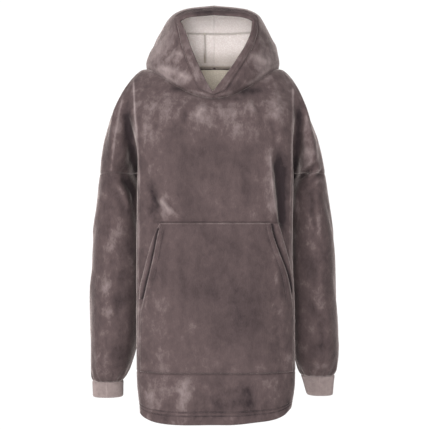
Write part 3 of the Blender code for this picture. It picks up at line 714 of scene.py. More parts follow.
# Each piece's cut: what shows of it, all round on a sleeve or cuff
CUTS = (
    Cut("front_panel", (1.02, 0.91), 0.6, "hung", ("back_panel",), ("stitches_hem",)),
    Cut("back_panel", (0.97, 0.94), 0.58, "hung", ("front_panel",)),
    Cut("sleeve_cloth_left", (0.48, 0.58), 0.236, "hung", ("front_panel", "back_panel")),
    Cut("sleeve_cloth_right", (0.47, 0.57), 0.227, "hung", ("front_panel", "back_panel")),
    Cut("rib_cuff_left", (0.27, 0.05), 0.0125, "stretched", ("sleeve_cloth_left",)),
    Cut("rib_cuff_right", (0.27, 0.06), 0.0152, "stretched", ("sleeve_cloth_right",)),
    Cut("hood_panel_left", (0.41, 0.27), 0.072, "draped", ("front_panel", "back_panel")),
    Cut("hood_panel_right", (0.39, 0.27), 0.07, "draped", ("front_panel", "back_panel")),
    Cut("hood_strip_left", (0.04, 0.31), 0.0105, "draped", ("hood_panel_left",), ("stitches_hood",)),
    Cut("hood_strip_right", (0.04, 0.31), 0.011, "draped", ("hood_panel_right",)),
    Cut("hood_sherpa_left", (0.38, 0.27), 0.062, "draped", ("hood_panel_left",)),
    Cut("hood_sherpa_right", (0.37, 0.27), 0.06, "draped", ("hood_panel_right",)),
    Cut("hood_sherpa_strip_left", (0.048, 0.3), 0.0125, "draped", ("hood_panel_left",)),
    Cut("hood_sherpa_strip_right", (0.048, 0.3), 0.013, "draped", ("hood_panel_right",)),
    Cut("pocket_panel", (0.42, 0.38), 0.14, "laid", ("front_panel",), ("stitches_pocket",)),
    Cut("pocket_edge_left", (0.045, 0.195), 0.0066, "laid", ("front_panel",)),
    Cut("pocket_edge_right", (0.045, 0.195), 0.0072, "laid", ("front_panel",)),
)


@dataclass
class Skin:
    """The outside of body, sleeves and cuffs as one set of points, with a piece's name for each quad."""

    points: list = field(default_factory=list)
    quads: list = field(default_factory=list)
    pieces: list = field(default_factory=list)

    def add_row(self, row: Array) -> Array:
        """Adds points and returns their indices."""
        first = len(self.points)
        self.points.extend(row)
        return np.arange(first, first + len(row))

    def bridge(self, upper: Array, lower: Array, names: list[str]) -> None:
        """Quads between two closed rows of indices.

        Args:
            upper: the row above.
            lower: the row below.
            names: the piece that each quad belongs to.
        """
        self.quads.append(np.stack([upper, lower, np.roll(lower, -1), np.roll(upper, -1)], axis=1))
        self.pieces.extend(names)

    def settle(self) -> None:
        """Turns the lists into arrays once all the rows are in."""
        self.points = np.array(self.points)
        self.quads = np.vstack(self.quads)
        self.pieces = np.array(self.pieces)

    def of_piece(self, name: str) -> Array:
        """The quads of one piece."""
        return self.quads[self.pieces == name]


UPPER = Table(
    ("z", "out_l", "out_r", "crest_l", "crest_r", "crest_f", "crest_b",
     "valley_l", "valley_r", "valley_f", "valley_b",
     "ridge_l", "ridge_r", "ridge_f", "ridge_b", "quarter_f", "quarter_b", "middle_f", "middle_b"),
    (
        (-126, 257, 237.5, 241, 226, -104, 112, 217, 206, -101, 112,
         188, 188, -120, 128, -141, 146, -146, 152),
        (-171, 270.5, 256, 243, 235, -94, 108, 206, 203, -80, 100,
         183.5, 187, -121, 127, -146, 148, -151, 155),
        (-215, 279.5, 268.5, 244, 241, -82, 105, 195, 198, -48, 78,
         180.5, 186.5, -119, 125, -148, 149, -153, 156),
        (-240, 283, 274, 244, 243, -72, 103, 186, 192.5, -10, 48,
         179.5, 186, -118, 122, -149, 149, -154, 156),
        (-255, 285, 276.5, 244, 244, -66, 102, 183, 189.5, 18, 18,
         179, 186, -117, 120, -149, 149, -154, 156),
    ))
LOWER = Table(
    ("z", "side_l", "side_r", "ridge_l", "ridge_r", "ridge_f", "ridge_b",
     "quarter_f", "quarter_b", "middle_f", "middle_b"),
    (
        (-255, 176.5, 183, 179, 186, -117, 120, -149, 149, -154, 156),
        (-300, 171, 179, 179, 184.5, -115, 118, -150, 150, -155, 156),
        (-450, 171, 179, 181, 182, -114, 116, -151, 150, -156, 155),
        (-600, 172, 181, 181, 188.5, -114, 115, -152, 149, -157, 155),
        (-720, 173, 182, 180, 190, -113, 114, -152, 148, -157, 154),
        (-856, 172, 179, 176, 185, -110, 112, -149, 147, -154, 152),
    ))
SLEEVE_NAMES = ("z", "outer", "inner", "mid_y", "half_depth")
SLEEVES = {
    Side.LEFT: Table(SLEEVE_NAMES, (
        (-300, 292, 185.5, 28, 81), (-420, 303.5, 184, 32, 82), (-550, 310, 185, 34, 82),
        (-650, 310.5, 189, 34, 80), (-700, 310, 199, 34, 74), (-735, 310.5, 208.5, 34, 64),
        (-760, 309.5, 220, 34, 52), (-774, 307, 229, 34, 42), (-814, 305.5, 230, 34, 40),
    )),
    Side.RIGHT: Table(SLEEVE_NAMES, (
        (-300, 286, 194.5, 28, 83), (-420, 303, 193, 32, 83), (-550, 308.5, 194, 34, 83),
        (-650, 313.5, 195.5, 34, 81), (-690, 314.5, 198.5, 34, 76), (-722, 313, 204.5, 34, 67),
        (-745, 310.5, 211, 34, 55), (-760, 304.5, 219, 34, 43), (-810, 299.5, 235, 34, 36),
    )),
}
NECK_ANGLES = (90.0, 85.0, 80.0, 77.0, 73.0, 70.0, 60.0, 34.0, 0.0)

# The solids' own large folds
LARGE_FOLDS = (
    folds(
        Facing.FRONT,
        (130, -190, 147, -385, 15, 6), (160, -200, 168, -400, 14, -7), (-145, -270, -141, -380, 14, -5),
        (-118, -300, -128, -372, 14, 4), (-60, -740, -75, -856, 22, 3), (80, -745, 95, -856, 20, -3),
    )
    + folds(
        Facing.BACK,
        (-110, -180, -85, -520, 22, -8), (105, -160, 75, -560, 24, -8), (20, -420, -30, -856, 28, 6),
        (130, -560, 120, -856, 22, 5), (-125, -600, -135, -856, 22, -5),
    )
)

# Creases of body and sleeves: short pulls under the neck, drags beside the armpits, the
# crumple beside the pocket, and long soft drags down the sleeves
CREASES = (
    folds(
        Facing.FRONT,
        (-70, -85, -112, -150, 7, 1.6, 6), (-52, -88, -70, -140, 6, -1.6, -4),
        (-30, -86, -40, -128, 6, 1.7, 3), (-12, -84, -10, -118, 5, -1.5),
        (12, -85, 24, -126, 6, 1.6, -3), (36, -82, 58, -130, 6, -1.6), (66, -76, 100, -122, 8, 1.8, 5),
        (94, -60, 128, -150, 9, -2, -6), (-130, -50, -148, -170, 10, -2.2, 8),
        (-158, -60, -166, -200, 9, 2), (148, -50, 158, -190, 10, 2.4),
        (130, -110, 150, -230, 7, -1.8, 5), (-160, -235, -136, -300, 8, 2.2, 6),
        (-150, -290, -120, -352, 6, -3.4, -6), (-132, -318, -100, -362, 6, 3.4, 4),
        (-116, -316, -88, -352, 5, -2.8), (-104, -338, -74, -368, 5, 2.6, -3),
        (-136, -345, -126, -372, 5, -3.4), (-58, -240, -64, -365, 14, -1.2, 6),
        (0, -200, 12, -365, 18, 1.2, -6), (70, -220, 80, -362, 13, -1.4, 4),
        (140, -340, 158, -450, 7, -2), (-140, -742, -150, -830, 12, 2.2),
        (-100, -745, -96, -826, 10, -1.8, 4), (10, -742, 4, -830, 13, -1.5),
        (140, -742, 152, -835, 11, 2.2, -4), (-216.5, -105, -193.5, -256, 9, -7, 2, 0.2),
        (211, -90, 201, -252, 9, -6, 2, 0.2), (145, -225, 164, -392, 9, -7, 2, 0.2),
        (-206, -150, -240, -235, 8, 2, 10), (-196, -190, -232, -262, 6, -2.4, 6),
        (-224, -264, -190, -325, 8, -6.2, 3, 0.25), (-240, -278, -206, -345, 8, 3.4, 3),
        (-246, -300, -216, -372, 9, -2.6, 4), (-202, -356, -262, -470, 13, 2.8, -10),
        (-256, -300, -282, -470, 12, -2.2, 8), (-210, -480, -240, -640, 13, -2.6, -8),
        (-272, -500, -262, -660, 14, 2.8, 8), (-232, -600, -272, -720, 10, 2.6, 6),
        (-288, -690, -286, -770, 6, 3.4), (245, -222, 201, -256, 6, 4.8, 2, 0.25),
        (249, -234, 204, -268, 6, -5.4, 2, 0.25), (262, -236, 230, -262, 5.5, 4, 3),
        (266, -250, 234, -276, 5.5, -4, 2), (264, -266, 236, -292, 6, 3),
        (226, -110, 210, -235, 9, 2.6, -6), (241, -300, 254, -400, 6, -3.6, -4),
        (252, -296, 266, -420, 8, 3, -4), (206, -270, 232, -400, 10, 2.4, 8),
        (214, -420, 246, -560, 13, -2.6, 10), (268, -460, 262, -620, 13, 2.8, -8),
        (236, -560, 276, -700, 11, -2.6, 6), (284, -600, 276, -740, 9, 2.4),
    )
    + folds(
        Facing.LEFT,
        (60, -130, 12, -262, 10, -2.6, 8), (-40, -290, 34, -420, 13, 3, -10),
        (92, -300, 40, -520, 13, -3, 12), (-20, -480, 50, -700, 14, 3, 10),
        (86, -560, 60, -730, 11, -2.8),
    )
    + folds(
        Facing.RIGHT,
        (56, -120, 16, -258, 10, 2.6, -8), (-36, -300, 30, -440, 13, -3, -10),
        (90, -290, 44, -500, 13, 3, 12), (-14, -500, 46, -690, 14, -3, 10),
        (88, -540, 58, -730, 11, 2.8),
    )
    + folds(
        Facing.BACK,
        (-60, 0, -90, -130, 10, 2.2, 6), (0, -10, -6, -120, 12, -1.8), (64, 0, 86, -140, 10, 2.2, -6),
        (-180, -160, -120, -300, 11, 3, 10), (182, -150, 124, -290, 11, -3, -10),
        (-150, -330, -60, -470, 14, -2.8, 14), (150, -340, 64, -500, 14, 2.8, -14),
        (-30, -300, 40, -640, 18, -2.8, 12), (-100, -620, -70, -850, 13, 3),
        (80, -600, 66, -850, 14, -3, 6), (-200, -270, -256, -400, 12, 2.8, 8),
        (-214, -430, -270, -620, 13, -2.8, 10), (204, -280, 256, -420, 12, -2.8, -8),
        (216, -440, 268, -640, 13, 2.8, -10),
    )
)

# Where the nap was stroked, and painted shadows under the hood's lower edge, beside the armpits and down the
# drape on the right: centre and reach in the view's own two axes, and tone
NAP_AND_SHADE_MARKS = (
    nap_and_shade_marks(
        Facing.FRONT,
        (-125, 30, 45, 60, 0.85), (-70, -35, 40, 20, 0.22), (120, 10, 40, 45, 0.5),
        (-92, 60, 16, 20, -0.6), (-108, 10, 22, 12, -0.5), (70, -20, 30, 20, -0.35),
        (-30, 135, 60, 14, -0.8), (50, 135, 40, 14, -0.6), (90, -58, 42, 12, -0.9),
        (40, -80, 30, 6, -0.6), (-86, -52, 36, 12, -0.9), (-130, -28, 20, 10, -0.4),
        (-207, -150, 11, 50, -0.9), (-197, -240, 13, 40, -0.9), (-200, -310, 16, 45, -0.7),
        (204, -170, 9, 80, -0.8), (206, -275, 12, 40, -0.6), (-258, -190, 12, 60, -0.5),
        (-226, -130, 10, 50, 0.4), (222, -215, 16, 30, 0.6), (220, -120, 12, 50, 0.35),
        (156, -290, 9, 75, -0.9), (0, -108, 85, 30, 0.42), (-115, -85, 45, 40, 0.25),
        (120, -105, 40, 50, 0.26), (-140, -160, 30, 90, 0.18), (20, -150, 90, 35, 0.3),
        (-20, -225, 80, 60, -0.3), (85, -235, 35, 50, -0.25), (-100, -345, 30, 25, 0.24),
        (0, -320, 90, 40, -0.1), (165, -300, 18, 90, -0.25), (-110, -450, 30, 60, -0.12),
        (30, -480, 100, 90, -0.22), (75, -600, 80, 80, -0.34), (0, -520, 200, 160, -0.1),
        (-110, -640, 40, 80, 0.16), (-100, -780, 60, 32, 0.4), (20, -790, 70, 40, -0.36),
        (105, -758, 35, 14, 0.25), (100, -812, 80, 28, -0.28), (-110, -835, 50, 12, -0.2),
        (-262, -330, 22, 70, -0.12), (-235, -290, 30, 40, -0.2), (-262, -560, 30, 80, 0.15),
        (-240, -700, 40, 50, -0.3), (250, -360, 14, 60, 0.28), (230, -300, 30, 50, -0.3),
        (280, -480, 20, 100, -0.25), (240, -540, 20, 60, 0.15), (270, -690, 40, 40, -0.3),
        (-210, -210, 20, 60, -0.25),
    )
    + nap_and_shade_marks(
        Facing.BACK,
        (-80, -120, 70, 50, 0.3), (60, -260, 80, 80, -0.25), (-60, -480, 80, 100, 0.2),
        (80, -620, 70, 90, 0.3), (-80, -760, 80, 60, -0.3),
    )
    + nap_and_shade_marks(
        Facing.LEFT,
        (30, -400, 40, 90, 0.25), (30, -600, 40, 90, -0.2),
    )
    + nap_and_shade_marks(
        Facing.RIGHT,
        (30, -380, 40, 90, -0.2), (30, -600, 40, 90, 0.25),
    )
)


# Sharp creases, thin ridges that get a painted highlight where light grazes them: ridges down the body's
# sides and the upper arms, and the edge of the drape beside the pocket. Each has its view, its strength and
# its route in mm.
SHARP_CREASES = (
    (Facing.FRONT, 0.95, ((-196.7, -30), (-191.9, -82), (-188.5, -126), (-184, -171), (-180.8, -215),
                          (-179.5, -255), (-179.5, -290))),
    (Facing.FRONT, 0.6, ((-179.5, -290), (-181.5, -450), (-181.5, -600), (-180.5, -700))),
    (Facing.FRONT, 0.85, ((192.1, -52), (188.5, -126), (187, -171), (186.5, -215), (186.5, -255),
                          (185, -300), (183, -400))),
    (Facing.FRONT, 0.45, ((183, -400), (182.5, -450), (189, -600))),
    (Facing.FRONT, 0.42, ((-220.8, -69), (-240, -170), (-252.6, -260))),
    (Facing.FRONT, 0.6, ((236.8, -146), (247.9, -175), (252.8, -219))),
    (Facing.FRONT, 0.75, ((134.1, -222), (142.6, -308), (146.2, -331), (154.3, -376.5))),
    (Facing.BACK, 0.6, ((-195, -40), (-184, -160), (-179, -300))),
    (Facing.BACK, 0.6, ((195, -40), (187, -160), (185, -300))),
)


def crease_lines(points: Array, normals: Array, half_width: float = 0.0024) -> Array:
    """How close each point lies to a sharp crease, times that crease's strength.

    Args:
        points: the cloth's points.
        normals: their normals.
        half_width: how wide a crease shows.

    Returns:
        One value for each point, from 0 to 1.
    """
    total = np.zeros(len(points))
    for facing, strength, route in SHARP_CREASES:
        flat = points[:, [facing.across, 2]]
        away = np.full(len(points), 1.0)
        corners = np.array(route) * MM
        for start, way in zip(corners, np.diff(corners, axis=0)):
            t = np.clip((flat - start) @ way / (way @ way), 0, 1)
            away = np.minimum(away, np.linalg.norm(flat - start - t[:, None] * way, axis=1))
        total = np.maximum(total, strength * bell(away, half_width) * (facing.toward(normals) > -0.1))
    return total * (0.75 + Crumple(0.25, 0.02, 2, 71).at(points))


NAP_CLOUD = Crumple(0.14, 0.06, 3, 5)
NAP_STREAKS = Crumple(0.17, 0.024, 2, 91)
UPRIGHT = (1.0, 1.0, 0.16)
CREASE_HIGHLIGHT = 1.3
MARK_TONE = 0.85


def nap_light_and_shade_of(points: Array, normals: Array) -> Array:
    """The nap's own tone at each point, with painted highlights on the sharp creases and the marks' painted
    shade, from -1 to 1.
    """
    tone = NAP_CLOUD.at(points) + CREASE_HIGHLIGHT * crease_lines(points, normals)
    tone += NAP_STREAKS.at(points * UPRIGHT)
    for mark in NAP_AND_SHADE_MARKS:
        tone += MARK_TONE * mark.tones(points, normals)
    return np.clip(tone, -1.0, 1.0)


def brushing_of(points: Array) -> Array:
    """How strongly small marks show: most round the neck and on the hem, least on chest and pocket."""
    z = points[:, 2]
    calm = smooth_step(-z, 0.13, 0.2) * (1 - smooth_step(-z, 0.74, 0.77))
    inside = 1 - smooth_step(np.abs(points[:, 0]), 0.1, 0.16)
    return 0.58 - 0.22 * calm * inside


@dataclass
class Body:
    """Front, back and sleeves, and the skin of all that hangs from the neckline."""

    finishes: Finishes
    arm_steps: tuple[int, ...] = (15, 13, 10, 22)
    pit_steps: int = 4
    torso_steps: tuple[int, ...] = (16, 26, 30)
    yoke_rows: int = 42
    upper_rows: int = 34
    row_step: float = 0.004
    yoke_bottom: float = -0.126
    sleeve_seam: float = -0.255
    hem_from: float = -0.816
    hem_stitches: tuple[float, float] = (-0.8254, -0.8344)
    hem: float = -0.856
    hem_row_step: float = 0.0014
    seam_rows: int = 8
    seam_rows_reach: float = 0.006
    hem_side_rise: float = 0.024
    hem_corner_x: float = 0.185
    hem_corner_power: float = 7.0
    hem_right_rise: float = 0.006
    hem_narrowing: float = 0.02
    hem_narrows_from: float = -0.77
    hem_rise_from: float = -0.735
    pocket_top: float = -0.3765
    pocket_bottom: float = -0.7335
    pit_width: float = 0.012
    arm_middle_y: float = 0.018
    torso_side_y: float = 0.01
    quarter_place: float = 0.62
    neck_half_width: dict = field(default_factory=lambda: {-1: 0.17, 1: 0.1635})
    neck_front_y: float = -0.125
    neck_back_y: float = 0.12
    neck_front_z: float = -0.076
    neck_side_z: float = 0.007
    neck_back_z: float = 0.025
    neck_dip_power: float = 2.7
    wall: float = 0.0045
    hem_wall: float = 0.008
    cuff_wall: float = 0.003
    seam_dip: float = 0.0012
    seam_width: float = 0.0036
    neck_seam_dip: float = 0.0026
    neck_seam_width: float = 0.007
    neck_fade: float = 0.014
    neck_shares: tuple[float, ...] = (1.0, 0.6, 0.25, 0.06)
    blend: float = 0.05
    cuff_top: dict = field(default_factory=lambda: {Side.LEFT: -0.774, Side.RIGHT: -0.76})
    cuff_bottom: dict = field(default_factory=lambda: {Side.LEFT: -0.814, Side.RIGHT: -0.81})
    gathers: int = 15
    gather_depth: tuple[float, float] = (0.0022, 0.0046)
    gather_length: tuple[float, float] = (0.026, 0.068)
    gather_lean: tuple[float, float] = (-2.5, 2.5)
    gather_spread: float = 0.105
    most_points: int = 200000
    light_and_shade_by_lift: float = 95.0
    crease_ridge: float = 0.0016
    crease_half_width: float = 0.004
    crumple: tuple[Crumple, ...] = (Crumple(0.0009, 0.05, 3, 11), Crumple(0.00035, 0.012, 2, 12))
    stitch_dip: float = 0.0013
    stitch_half_width: float = 0.0016
    pocket_seam_dip: float = 0.001
    pocket_seam_width: float = 0.002
    stitch_shade: float = 0.85
    pocket_seam_shade: float = 0.45
    seam_highlight: float = 0.05

    def __post_init__(self) -> None:
        """Works out the columns and builds the bare skin with its large folds."""
        self.arm = sum(self.arm_steps)
        self.torso = sum(self.torso_steps)
        self.half = self.arm + self.pit_steps + self.torso
        self.ring = 4 * self.half
        self.skin = Skin()
        self.lower_rows: dict[float, Array] = {}
        self.build_skin()
        skin = self.skin
        normals = face_normals_at(skin.points, skin.quads)
        self.large_lift = sum(fold.lift(skin.points, normals) for fold in LARGE_FOLDS) * self.on_body
        top = np.arange(12 * self.ring)
        self.large_lift[top] *= smooth_step(near_edge(skin.points[top], top[:self.ring], 0.03), 0.002, 0.03)
        skin.points = skin.points + normals * self.large_lift[:, None]
        self.smooth_normals = face_normals_at(skin.points, skin.quads)

    def keys(self, row: dict[str, float], side: str, face: str) -> list[tuple[float, float]]:
        """Key points of a quarter of an upper section, from the arm's outline to the middle.

        Args:
            row: the section's sizes.
            side: l or r.
            face: f or b.

        Returns:
            The key points.
        """
        sign = -1 if side == "l" else 1
        out, crest, valley, ridge = (row[f"{n}_{side}"] for n in ("out", "crest", "valley", "ridge"))
        crest_y, valley_y, ridge_y, quarter_y, middle_y = (
            row[f"{n}_{face}"] for n in ("crest", "valley", "ridge", "quarter", "middle"))
        arm_pit, body_pit = valley + self.pit_width / 2, valley - self.pit_width / 2
        shoulder = (out - 0.26 * (out - crest), self.arm_middle_y + 0.72 * (crest_y - self.arm_middle_y))
        inner = ((crest + arm_pit) / 2, crest_y + 0.28 * (valley_y - crest_y))
        places = [(out, self.arm_middle_y), shoulder, (crest, crest_y), inner, (arm_pit, valley_y),
                  (body_pit, valley_y), (ridge, ridge_y), (self.quarter_place * ridge, quarter_y),
                  (0.0, middle_y)]
        return [(sign * x, y) for x, y in places]

    def ring_of(self, quarters: list, steps: tuple[int, ...], z: float) -> Array:
        """A level ring through four quarters of key points."""
        front_left, front_right, back_right, back_left = quarters
        keys = front_left + front_right[-2::-1] + back_right[1:] + back_left[-2:0:-1]
        flat = closed_spline(np.array(keys), steps + steps[::-1] + steps + steps[::-1])
        return np.column_stack([flat, np.full(len(flat), z)])

    def upper_ring(self, z: float) -> Array:
        """The section of body and upper arms at one height."""
        row = UPPER.at(z)
        quarters = [self.keys(row, side, face) for side, face in ("lf", "rf", "rb", "lb")]
        return self.ring_of(quarters, self.arm_steps + (self.pit_steps,) + self.torso_steps, z)

    def lower_ring(self, z: float) -> Array:
        """The section of the body at one height below the sleeve seams."""
        row = LOWER.at(z)
        quarters = []
        for side, face in ("lf", "rf", "rb", "lb"):
            sign = -1 if side == "l" else 1
            ridge = row[f"ridge_{side}"]
            quarters.append([(sign * row[f"side_{side}"], self.torso_side_y),
                             (sign * ridge, row[f"ridge_{face}"]),
                             (sign * self.quarter_place * ridge, row[f"quarter_{face}"]),
                             (0.0, row[f"middle_{face}"])])
        return self.ring_of(quarters, self.torso_steps, z)

    def neck_point(self, angle: float, sign: int) -> tuple[float, float, float]:
        """A point of the neckline.

        Args:
            angle: degrees from the front middle.
            sign: which side, -1 or 1.

        Returns:
            The point.
        """
        turn = math.radians(angle)
        mid_y = (self.neck_front_y + self.neck_back_y) / 2
        y = mid_y + (self.neck_front_y - mid_y) * math.cos(turn)
        if angle <= 90:
            rise = 1 - max(math.cos(turn), 0.0) ** self.neck_dip_power
            z = self.neck_front_z + (self.neck_side_z - self.neck_front_z) * rise
        else:
            z = self.neck_side_z + (self.neck_back_z - self.neck_side_z) * math.cos(turn) ** 2
        return (sign * self.neck_half_width[sign] * math.sin(turn), y, z)

    def neck_columns(self) -> list[tuple[int, float]]:
        """Side and angle of every column of the neckline."""
        quarter = []
        for k, steps in enumerate(self.arm_steps + (self.pit_steps,) + self.torso_steps):
            low, high = NECK_ANGLES[k], NECK_ANGLES[k + 1]
            quarter += [low + (high - low) * j / steps for j in range(steps)]
        inwards = [0.0] + quarter[:0:-1]
        return ([(-1, a) for a in quarter] + [(1, a) for a in inwards]
                + [(1, 180 - a) for a in quarter] + [(-1, 180 - a) for a in inwards])

    def yoke(self, neck: Array, ring: Array, below: Array) -> list[Array]:
        """Rows from the neckline out over the shoulders to the first level ring."""
        columns = self.neck_columns()
        sign = np.array([s for s, _ in columns])
        turn = np.radians([a for _, a in columns])
        sideways, forward = np.sin(turn) ** 2, -np.cos(turn)
        leave = np.column_stack([sign * 0.105 * sideways, 0.06 * forward * np.abs(forward),
                                 -0.11 + 0.085 * sideways])
        coarse_step = (below - ring) * (4.5 * 0.022 / (self.yoke_bottom - below[0, 2]))
        return [hermite(neck, leave, ring, coarse_step, t)
                for t in np.linspace(0, 1, self.yoke_rows + 1)[1:-1]]

    def lower_heights(self) -> list[float]:
        """Heights of the body's rows below the sleeve seams, closer together at the hem."""
        reach, fine = self.seam_rows_reach, self.seam_rows_reach / (self.seam_rows / 2)
        top, bottom = self.pocket_top, self.pocket_bottom
        stretches = ((self.sleeve_seam, top + reach, self.row_step), (top + reach, top, fine),
                     (top, top - reach, fine), (top - reach, bottom + reach, self.row_step),
                     (bottom + reach, bottom, fine), (bottom, bottom - reach, fine),
                     (bottom - reach, self.hem_from, self.row_step),
                     (self.hem_from, self.hem, self.hem_row_step))
        heights: list[float] = []
        for high, low, step in stretches:
            count = round((high - low) / step)
            heights += [high + (low - high) * k / count for k in range(1, count)] + [low]
        return heights

    def build_skin(self) -> None:
        """Builds the rows of body, sleeves and cuffs."""
        skin, half, arm, pit = self.skin, self.half, self.arm, self.pit_steps
        self.level = np.zeros(self.most_points)
        neck = np.array([self.neck_point(angle, sign) for sign, angle in self.neck_columns()])
        zs = np.linspace(self.yoke_bottom, self.sleeve_seam, self.upper_rows + 1)
        first, below = self.upper_ring(zs[0]), self.upper_ring(-0.148)
        rows = [neck] + self.yoke(neck, first, below) + [self.upper_ring(z) for z in zs[:-1]]
        indices = [skin.add_row(row) for row in rows]
        seam = skin.add_row(self.upper_ring(self.sleeve_seam))
        left_front, left_back = np.arange(arm, arm + pit + 1), self.ring - np.arange(arm, arm + pit + 1)
        seam[left_back] = seam[left_front]
        seam[2 * half + arm + np.arange(pit + 1)] = seam[2 * half - arm - np.arange(pit + 1)]
        indices.append(seam)
        names = ["body_front"] * (2 * half) + ["body_back"] * (2 * half)
        for upper, lower in zip(indices, indices[1:]):
            skin.bridge(upper, lower, names)

        chain = np.concatenate([seam[arm + pit:2 * half - arm - pit], seam[2 * half + arm + pit:-arm - pit]])
        start = np.array([skin.points[i] for i in chain])
        reference = self.lower_ring(self.sleeve_seam)
        names = ["body_front"] * (2 * self.torso) + ["body_back"] * (2 * self.torso)
        upper = chain
        self.lower_rows[self.sleeve_seam] = chain
        for z in self.lower_heights():
            fade = max(0.0, 1 - (self.sleeve_seam - z) / self.blend) ** 2
            row = self.lower_ring(z) + (start - reference) * (1, 1, 0) * fade
            narrow = smooth_step(np.array([-z]), -self.hem_narrows_from, -self.hem)[0]
            row[:, 0] *= 1 - self.hem_narrowing * narrow
            near = np.clip((self.hem_rise_from - z) / (self.hem_rise_from - self.hem), 0, 1)
            corner = np.minimum(np.abs(row[:, 0]) / self.hem_corner_x, 1.0) ** self.hem_corner_power
            row[:, 2] += self.hem_side_rise * near**1.5 * corner
            row[:, 2] += self.hem_right_rise * near**3 * smooth_step(row[:, 0], 0.03, 0.12)
            index = skin.add_row(row)
            self.level[index] = z
            skin.bridge(upper, index, names)
            self.lower_rows[z] = index
            upper = index
        self.body_points = len(skin.points)
        self.add_sleeve(Side.LEFT, np.concatenate([seam[-arm:], seam[:arm]]))
        self.add_sleeve(Side.RIGHT, seam[2 * half - arm:2 * half + arm])
        skin.settle()
        self.on_body = (np.arange(len(skin.points)) < self.body_points).astype(float)
        self.level = self.level[:len(skin.points)]

    def sleeve_ring(self, side: Side, z: float) -> Array:
        """A sleeve's section, its columns in the order of the armhole's."""
        row = SLEEVES[side].at(z)
        turn = math.pi * np.arange(2 * self.arm) / self.arm
        if side is Side.RIGHT:
            turn = -turn
        across, along = squared_circle(turn)
        mid_x, half_width = (row["outer"] + row["inner"]) / 2, (row["outer"] - row["inner"]) / 2
        return np.column_stack([side.sign * (mid_x - half_width * across),
                                row["mid_y"] + row["half_depth"] * along, np.full(len(turn), z)])

    def add_sleeve(self, side: Side, chain: Array) -> None:
        """Sleeve and cuff below the armhole.

        Args:
            side: which sleeve.
            chain: point indices round the armhole.
        """
        skin = self.skin
        start = np.array([skin.points[i] for i in chain])
        reference = self.sleeve_ring(side, -0.3)
        top, cuff_top, cuff_bottom = self.sleeve_seam, self.cuff_top[side], self.cuff_bottom[side]
        upper = chain
        count = round((top - cuff_top) / self.row_step)
        for z in np.linspace(top, cuff_top, count + 1)[1:]:
            ring = self.sleeve_ring(side, z)
            fade = max(0.0, 1 - (top - z) / self.blend) ** 1.5
            ring[:, :2] += (start - reference)[:, :2] * fade
            index = skin.add_row(ring)
            skin.bridge(upper, index, [f"sleeve_{side.value}"] * len(chain))
            upper = index
        for z in np.linspace(cuff_top, cuff_bottom, 15)[1:]:
            index = skin.add_row(self.sleeve_ring(side, z))
            skin.bridge(upper, index, [f"cuff_{side.value}"] * len(chain))
            upper = index

    def share_neck(self, angles: Array, normals: Array) -> Array:
        """Gives the neckline one normal for body and hood, so that their edges meet.

        Args:
            angles: the hood's columns as signed degrees from the front middle.
            normals: the hood's own normals there.

        Returns:
            The shared normals at the hood's columns.
        """
        mine = np.array([sign * angle for sign, angle in self.neck_columns()])
        order, theirs = np.argsort(mine), np.argsort(angles)
        own = self.smooth_normals[:self.ring]
        shared_here = own + np.column_stack([
            np.interp(mine, angles[theirs], normals[theirs, axis], period=360) for axis in range(3)])
        shared_there = normals + np.column_stack([
            np.interp(angles, mine[order], own[order, axis], period=360) for axis in range(3)])
        shared_here = unit(shared_here)
        for row, weight in enumerate(self.neck_shares):
            chosen = slice(row * self.ring, (row + 1) * self.ring)
            mixed = self.smooth_normals[chosen] * (1 - weight) + shared_here * weight
            self.smooth_normals[chosen] = unit(mixed)
        return unit(shared_there)

    def stitch_lines(self) -> Array:
        """How close each point lies to the hem's two rows of stitches, from 0 to 1."""
        near = sum(bell(self.level - stitch, self.stitch_half_width) for stitch in self.hem_stitches)
        return near * (self.level < 0)

    def pocket_seams(self, points: Array) -> Array:
        """How close each point lies to the seams above and below the pocket, from 0 to 1."""
        above = bell(self.level - self.pocket_top - 0.0018, self.pocket_seam_width)
        above *= 1 - smooth_step(np.abs(points[:, 0]), 0.126, 0.14)
        below = bell(self.level - self.pocket_bottom + 0.0016, self.pocket_seam_width)
        return (above + below) * (points[:, 1] < 0) * (self.level < 0)

    def front_row(self, z: float) -> tuple[Array, Array]:
        """Places and normals along the front's half of a lower row.

        Args:
            z: one of the lower rows' heights.

        Returns:
            Places and normals.
        """
        chosen = self.lower_rows[z][:2 * self.torso + 1]
        return self.skin.points[chosen], self.smooth_normals[chosen]

    def neck_dip(self, away: Array) -> Array:
        """The dip of the cloth at a distance from the neck seam."""
        return self.neck_seam_dip * bell(away, self.neck_seam_width)

    def under_pocket(self, points: Array) -> Array:
        """How much of a point lies under the pocket, from 0 to 1, so that the front stays flat there."""
        x, y, z = points.T
        inside = smooth_step(z, self.pocket_bottom - 0.004, self.pocket_bottom + 0.01)
        inside *= 1 - smooth_step(z, self.pocket_top - 0.01, self.pocket_top + 0.006)
        return inside * (1 - smooth_step(np.abs(x), 0.15, 0.176)) * (y < 0)

